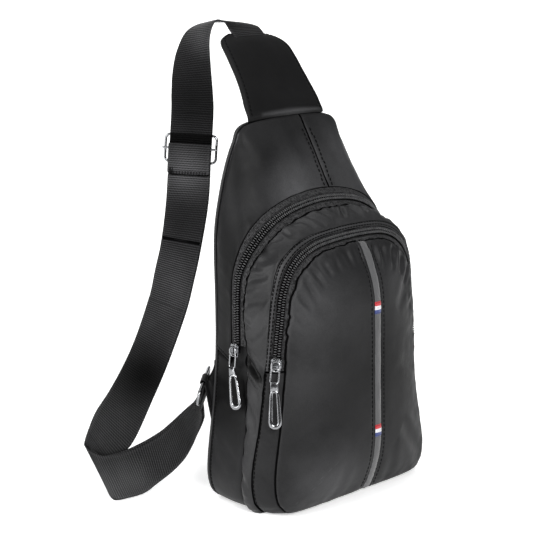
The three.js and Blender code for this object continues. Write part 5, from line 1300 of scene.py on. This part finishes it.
def keep(node, material, bevel=0.0, angle=30):
    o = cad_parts[node]
    o.data.materials.clear(); o.data.materials.append(material)
    if bevel:
        b = o.modifiers.new("soft_edge", "BEVEL"); b.width = bevel / 1000; b.segments = 3; b.limit_method = "ANGLE"; b.angle_limit = math.radians(angle); b.harden_normals = False
    return o


xs_ = np.linspace(-25.6, 25.6, 40); rb_ = 1.05 * np.sqrt(np.clip(1 - np.clip((np.abs(xs_) - 24.6) / 1.05, 0, 0.97) ** 2, 0.05, 1))
ob = sweep("triglide_bar_rod", at_g(xs_, 0 * xs_, 0 * xs_ + barZ), rb_, M_METAL, closed=False, sides=16, normal=gZ, flat=rb_)
finish_piece(ob, "triglide", ("triglide_bar",))

# the sewn loop: webbing turned round the bar, closed by a bar of stitching
legs, zi = 23.0, 1.5





# ---------------------------------------------------------------- ring, its webbing turn and its tab
barDir = np.array([15.4, 11.3, 5.9]); barDir /= np.linalg.norm(barDir)
ringOut = np.array([-93.4, 53.4, 91.5])
pull = np.array([0.06, 0.30, -0.95]); pull -= barDir * (pull @ barDir); pull /= np.linalg.norm(pull)
ringN = unit(np.cross(barDir, pull))
RING_W, RING_H, RWIRE = 47.0, 17.0, 3.0
ringIn = ringOut - pull * (RING_H - RWIRE); ringC = (ringOut + ringIn) / 2
rr = rounded_rect(RING_W - RWIRE, RING_H - RWIRE, 4.0)
ob = sweep("ring_wire", ringC + rr[:, :1] * barDir + rr[:, 1:] * pull, RWIRE / 2, M_METAL, sides=16, normal=ringN)
finish_piece(ob, "strap_ring", ("strap_ring",))
# webbing turned round the outer bar: a closed strip swept along a hairpin
zi_r = RWIRE / 2 + 0.5 + WEB_T / 2


def hairpin(name, centre, xdir, ydir, wdir, legs_a, legs_b, r, half=0.0, width=WEB_W, spread=(0.0, 0.0), body="bag", nodes=(), t=WEB_T, steps=12):
    """Webbing that comes along xdir, turns round a bar and goes back. spread moves each leg's far end along ydir."""
    pts = []
    for q in np.linspace(1, 0, steps): pts.append((q * legs_a, r + spread[0] * q * q))
    if half: pts.append((-half, r))
    for a in np.linspace(90, 270, 15)[1:-1]: pts.append((-half + r * math.cos(math.radians(a)), r * math.sin(math.radians(a))))
    if half: pts.append((-half, -r))
    for q in np.linspace(0, 1, steps): pts.append((q * legs_b, -r + spread[1] * q * q))
    pts = np.array(pts)
    keepi = [0] + [i for i in range(1, len(pts)) if np.linalg.norm(pts[i] - pts[i - 1]) > 1e-6]
    pts = pts[keepi]
    P3 = centre + pts[:, :1] * xdir + pts[:, 1:] * ydir
    T = unit(np.gradient(P3, axis=0)); Nn = unit(np.cross(T, np.broadcast_to(wdir, T.shape)))
    tt = np.linspace(-0.5, 0.5, 15)
    G = P3[:, None] + tt[None, :, None] * width * wdir
    NN = Nn[:, None] * np.ones((1, 15, 1))
    arc = arc_of(P3)
    top, bot = G + NN * t / 2, G - NN * t / 2
    e0, e1 = G[:, 0] - wdir * 0.35, G[:, -1] + wdir * 0.35
    ring = np.concatenate([top, e1[:, None], bot[:, ::-1], e0[:, None]], 1); k = ring.shape[1]; cnt = len(P3)
    across = np.concatenate([(tt + .5) * width, [width + .6], (tt[::-1] + .5) * width, [-.6]])
    uv = np.stack([np.broadcast_to(across, ring.shape[:2]), np.broadcast_to(arc[:, None], ring.shape[:2])], -1)
    F = []
    i = np.arange(cnt - 1)[:, None]; j = np.arange(k)[None]; l = (j + 1) % k
    F += np.stack([i * k + j, i * k + l, (i + 1) * k + l, (i + 1) * k + j], -1).reshape(-1, 4).tolist()
    F.append(list(range(k))[::-1]); F.append([(cnt - 1) * k + q for q in range(k)])
    ob = make_mesh(name, ring.reshape(-1, 3), F, M_WEB, uv=uv.reshape(-1, 2))
    fix_normals(ob)
    s = ob.modifiers.new("subdivision", "SUBSURF"); s.levels = 1; s.render_levels = 1
    finish_piece(ob, body, nodes)
    return ob, P3, Nn


turn, tp3, tn3 = hairpin("strap_ring_turn_webbing", ringOut, pull, ringN, np.cross(pull, ringN), 7.0, 7.0, zi_r, body="strap_ring", nodes=("strap_ring_turn",))
loop_o, lp3, ln3 = hairpin("strap_sewn_loop_webbing", at_g(0, 0, barZ), -gUp, gZ, gW, 23.6, 23.6, 1.65, half=2.2, spread=(-0.75, 0.75), body="triglide", nodes=("strap_sewn_loop",))
# stitched bar across the foot of the loop, on the side that is seen
sd = gN
for y in (-21.0, -22.6):
    xs = np.linspace(-17.0, 17.0, 40)
    c = at_g(xs, y, barZ) + sd * 2.0
    stitch("loop", c, np.broadcast_to(sd, c.shape), pitch=2.6)
for x in (14.5, 16.0, 17.3):
    ys = np.linspace(-23.0, -17.5, 8)
    c = at_g(x + 0 * ys, ys, barZ) + sd * 2.0
    stitch("loop", c, np.broadcast_to(sd, c.shape), pitch=1.5)
make_stitches("loop", "triglide", M_THREAD, length=1.9, width=0.6, height=0.5)

# tab: cloth folded round the inner bar, tapering to the rear corner seam
wd = unit(np.cross(pull, ringN))
R0 = RWIRE / 2 + 1.5
V, F = [], []
# loop round the bar, as a closed tube section in the plane of pull and ringN
ang = np.linspace(0, 2 * math.pi, 36, endpoint=False)
xs = np.linspace(-5.5, 5.5, 13)
outer = np.array([[ringIn + wd * x + (pull * math.cos(a) + ringN * math.sin(a)) * (R0 - 0.1 + 0.12 * math.sin(5 * a + x)) for a in ang] for x in xs])
inner = np.array([[ringIn + wd * x + (pull * math.cos(a) + ringN * math.sin(a)) * (R0 - 0.9) for a in ang] for x in xs])
na, nx = len(ang), len(xs)
V = np.concatenate([outer.reshape(-1, 3), inner.reshape(-1, 3)]); o = na * nx
for i in range(nx - 1):
    for j in range(na):
        k = (j + 1) % na
        F.append((i * na + j, i * na + k, (i + 1) * na + k, (i + 1) * na + j))
        F.append((o + i * na + j, o + (i + 1) * na + j, o + (i + 1) * na + k, o + i * na + k))
for i in (0, nx - 1):
    for j in range(na):
        k = (j + 1) % na
        F.append((i * na + j, i * na + k, o + i * na + k, o + i * na + j))
ob = make_mesh("tab_sleeve_cloth", V, F, M_SHELL); fix_normals(ob)
finish_piece(ob, "bag", ("strap_tab",))
# web of the tab, a thin crowned triangle between the sleeve and the seam
A0, A1 = ringIn + wd * -5.3, ringIn + wd * 5.3
hi = np.array([-87.6, 42.5, 122.0]); lo = np.array([-92.5, 42.5, 56.0])
if A0[2] > A1[2]: A0, A1 = A1, A0
n1, n2 = 40, 22
u = np.linspace(0, 1, n1)[:, None, None]; v = np.linspace(0, 1, n2)[None, :, None]
seam = lo * (1 - u) + hi * u + np.array([0, 0, 0]); slv = A0 * (1 - u) + A1 * u
away = (lo + hi) / 2 - ringIn; away = unit(away - wd * (away @ wd)); slv = slv + away * (R0 - 0.4)
G = seam * (1 - v) + slv * v
nrm = unit(np.cross(np.gradient(G, axis=1), np.gradient(G, axis=0)))
hgt = 0.6 * np.sin(math.pi * v[..., 0]) + 0.5 * np.sin(math.pi * v[..., 0]) * vnoise(np.stack([u[..., 0] * 6 + 0 * v[..., 0], v[..., 0] * 1.5 + 0 * u[..., 0], 0 * u[..., 0] + 0 * v[..., 0]], -1), 91)
G = G + nrm * hgt[..., None] - ringN * 1.6 * np.sin(math.pi * v) ** 0.6
ob = thick_grid("tab_web_cloth", G + nrm * 0.6, nrm, 1.2, M_SHELL)
finish_piece(ob, "bag", ())
for r in (3, n1 - 4):
    stitch("tab", G[r, 2:-4] + nrm[r, 2:-4] * 0.65, nrm[r, 2:-4]); stitch("tab", G[r, 2:-4] - nrm[r, 2:-4] * 0.65, -nrm[r, 2:-4])
make_stitches("tab", "bag", M_THREAD)

# ---------------------------------------------------------------- sliders, links and pulls
def axes_of(up, out):
    up = unit(np.array(up, float)); z = unit(np.array(out, float) - up * (np.array(out) @ up)); return np.cross(up, z), up, z


def zip_hardware(prefix, origin, up, out, swing, swing2):
    X, Y, Z = axes_of(up, out); origin = np.array(origin, float)
    base = 0.3 + 1.3 + 0.9
    rot = lambda y, z, a: (y * math.cos(a) - z * math.sin(a), y * math.sin(a) + z * math.cos(a))
    pv = np.array([0, -7.35, base + 0.9 + 0.5 + 1.25])
    LW, LH, W = 8.4, 14.0, 1.4
    rr = rounded_rect(LW - W, LH - W, 2.4, seg=8)
    pts = []
    for x, y in rr:
        yy, zz = rot(y - (LH - W) / 2, 0.0, swing)
        pts.append(origin + X * (pv[0] + x) + Y * (pv[1] + yy) + Z * (pv[2] + zz))
    nz = np.array(rot(0, 1, swing)); nrm = Y * nz[0] + Z * nz[1]
    ob = sweep(prefix + "_link_wire", np.array(pts), W / 2, M_METAL, sides=12, normal=nrm)
    finish_piece(ob, prefix + "_link", (prefix + "_link",))
    at = lambda q: origin + np.asarray(q)[:, :1] * X + np.asarray(q)[:, 1:2] * Y + np.asarray(q)[:, 2:3] * Z

    def block(name, outline, z0, z1, material, body, nodes=(), place=None, soft=0.35):
        o = np.array(outline, float); c = o.mean(0); rings = []
        for k, (zz, sh) in enumerate(((z0, soft), (z0 + soft, 0), (z1 - soft, 0), (z1 - soft * 0.3, soft * 0.6), (z1, soft * 1.3))):
            q = c + (o - c) * (1 - sh / np.linalg.norm(o - c, axis=1).max())
            rings.append(np.column_stack([q, np.full(len(q), zz)]))
        V = np.concatenate(rings); m = len(o); F = []
        for k in range(4):
            for a in range(m):
                b = (a + 1) % m; F.append((k * m + a, k * m + b, (k + 1) * m + b, (k + 1) * m + a))
        F.append(list(range(m))[::-1]); F.append([4 * m + a for a in range(m)])
        ob = make_mesh(name, (place or at)(V), F, material); fix_normals(ob)
        sm = ob.modifiers.new("bevel", "BEVEL"); sm.width = 0.00015; sm.segments = 2; sm.limit_method = "ANGLE"; sm.angle_limit = math.radians(40)
        return finish_piece(ob, body, nodes)

    # slider: a top plate, cheeks beside the teeth, and a ring-shaped bail
    oval = lambda w, h, y, r: [(x, yy + y) for x, yy in rounded_rect(w, h, r)]
    block(prefix + "_slider_plate", oval(8.4, 11.2, -5.2, 2.0), base - 0.1, base + 1.1, M_METAL_SHADED, prefix + "_slider", (prefix + "_slider",))
    block(prefix + "_slider_head", oval(6.6, 3.6, -0.6, 1.0), base + 0.9, base + 2.0, M_METAL, prefix + "_slider")
    for sgn_ in (-1, 1):
        block(prefix + "_slider_cheek_%d" % (sgn_ > 0), [(x + sgn_ * (3.7 if prefix == "front" and sgn_ < 0 else 4.3), y) for x, y in oval(1.0, 7.0, -3.6, 0.4)], 1.9 if prefix == "front" and sgn_ < 0 else 0.7, base + 0.9, M_METAL_SHADED, prefix + "_slider", soft=0.2)
    rr = rounded_rect(6.9, 8.2, 3.0, seg=8)
    bz = base + 2.2
    ob = sweep(prefix + "_slider_bail", at(np.column_stack([rr[:, 0], rr[:, 1] - 5.6, bz + 0.9 * np.cos(rr[:, 1] / 8.2 * math.pi)])), 0.85, M_METAL, sides=14, normal=Z)
    finish_piece(ob, prefix + "_slider", ())
    # pull: a lug on the link and a long loop, wider and thicker towards its end
    e = pv + np.array([0, *rot(-(LH - W), 0.0, swing)])
    lean = PULL_LEAN
    tilt = swing + swing2 * 0.2

    def hang(q):
        q = np.asarray(q, float) * np.array([1.0, 0.93 if prefix == "main" else 1.0, 1.0])
        k_ = PULL_TURN * np.clip(-q[:, 1] / 10.0, 0, 1)
        qx, qz = q[:, 0] * np.cos(k_) + q[:, 2] * np.sin(k_), q[:, 2] * np.cos(k_) - q[:, 0] * np.sin(k_)
        x = qx * math.cos(lean) - q[:, 1] * math.sin(lean); y = qx * math.sin(lean) + q[:, 1] * math.cos(lean)
        yy = y * math.cos(tilt) - qz * math.sin(tilt); zz = y * math.sin(tilt) + qz * math.cos(tilt)
        return at(np.column_stack([x + e[0], yy + e[1], zz + e[2]]))
    block(prefix + "_pull_lug", oval(6.6, 9.0, -3.4, 1.4), -1.0, 1.0, M_METAL, prefix + "_pull", (prefix + "_pull",), place=hang)
    left = [(-2.3, -7.0), (-2.7, -10.5), (-3.1, -17.0), (-3.5, -25.0), (-3.75, -31.0)]
    arc_ = [(-3.75 * math.cos(a), -33.4 - 3.6 * math.sin(a)) for a in np.linspace(0.1, math.pi - 0.1, 13)]
    pts = np.array(left + arc_ + [(-x, y) for x, y in left[::-1]] + [(0.0, -6.4)])
    pts3, _ = resample(np.column_stack([pts, 0 * pts[:, 0]]), 0.9, closed=True)
    for _ in range(3): pts3 = (np.roll(pts3, 1, 0) + 2 * pts3 + np.roll(pts3, -1, 0)) / 4
    grow = np.clip((-12 - pts3[:, 1]) / 24, 0, 1)
    ob = sweep(prefix + "_pull_loop", hang(pts3), 1.15 + 0.45 * grow, M_METAL, sides=16, flat=1.45 + 0.6 * grow, normal=unit(hang(np.array([[0, 0, 1.0]]))[0] - hang(np.array([[0, 0, 0.0]]))[0]))
    finish_piece(ob, prefix + "_pull", ())


PULL_LEAN, PULL_TURN = 0.0, 0.0
PULL_LEAN, PULL_TURN = 0.26, 0.45
zip_hardware("main", (-91.55, 8, 143.6), (0.012, 0, 1), (-1, 0, 0), -0.10, -0.06)
PULL_LEAN, PULL_TURN = 0.11, 0.0
zip_hardware("front", (-85.45, -34.2, 137.4), (0.118, -0.0155, 0.993), (-0.73, -0.68, 0), -0.10, -0.04)

# ---------------------------------------------------------------- inner pieces keep their solids
keep("back_foam", M_FOAM); keep("divider", M_LINING); keep("main_lining", M_LINING); keep("pocket_lining", M_LINING)

# ---------------------------------------------------------------- floor and light
def floor_material():
    t = Tree("studio_floor")
    n = t.noise(3.0, 2)
    t.set(color=t.ramp(n, [(0.0, (0.86, 0.86, 0.865)), (1.0, (0.90, 0.90, 0.90))]), rough=0.65, spec=0.2)
    t.b.inputs["Emission Color"].default_value = (1.0, 1.0, 1.0, 1); t.b.inputs["Emission Strength"].default_value = 0.42
    return t.m


me = bpy.data.meshes.new("floor")
me.from_pydata([(-8, -8, 0), (8, -8, 0), (8, 8, 0), (-8, 8, 0)], [], [(0, 1, 2, 3)])
me.materials.append(floor_material())
fl = bpy.data.objects.new("floor", me); COL.objects.link(fl)

world = bpy.data.worlds.new("studio"); bpy.context.scene.world = world; world.use_nodes = True
_wt = world.node_tree; _bg = _wt.nodes["Background"]
_bg.inputs["Color"].default_value = (1.0, 1.0, 1.0, 1); _bg.inputs["Strength"].default_value = 1.0      # the white sweep behind
_dim = _wt.nodes.new("ShaderNodeBackground"); _dim.inputs["Color"].default_value = (0.98, 0.99, 1.0, 1); _dim.inputs["Strength"].default_value = 0.10
_lp = _wt.nodes.new("ShaderNodeLightPath"); _mx = _wt.nodes.new("ShaderNodeMixShader")
_wt.links.new(_lp.outputs["Is Camera Ray"], _mx.inputs[0]); _wt.links.new(_dim.outputs[0], _mx.inputs[1]); _wt.links.new(_bg.outputs[0], _mx.inputs[2])
_wt.links.new(_mx.outputs[0], _wt.nodes["World Output"].inputs["Surface"])


def area(name, pos, target, size, power, size_y=None):
    d = bpy.data.lights.new(name, "AREA"); d.energy = power; d.shape = "RECTANGLE"; d.size = size; d.size_y = size_y or size
    o = bpy.data.objects.new(name, d); COL.objects.link(o)
    o.location = pos
    o.rotation_euler = (Vector(target) - Vector(pos)).to_track_quat("-Z", "Y").to_euler()
    return o


def sun(name, direction, strength, angle):
    d = bpy.data.lights.new(name, "SUN"); d.energy = strength; d.angle = math.radians(angle)
    o = bpy.data.objects.new(name, d); COL.objects.link(o)
    o.rotation_euler = (-Vector(direction)).to_track_quat("-Z", "Y").to_euler()
    return o


sun("key", (-0.42, -0.9, 0.60), 2.6, 22)
sun("fill", (-1.0, 0.0, 0.45), 1.3, 35)
sun("top", (0.2, 0.1, 1.0), 0.9, 50)
sun("behind", (0.5, 1.0, 0.55), 1.3, 50)
area("strip_left", (-1.5, 0.35, 0.7), (0, 0, 0.2), 0.35, 7, 1.4)
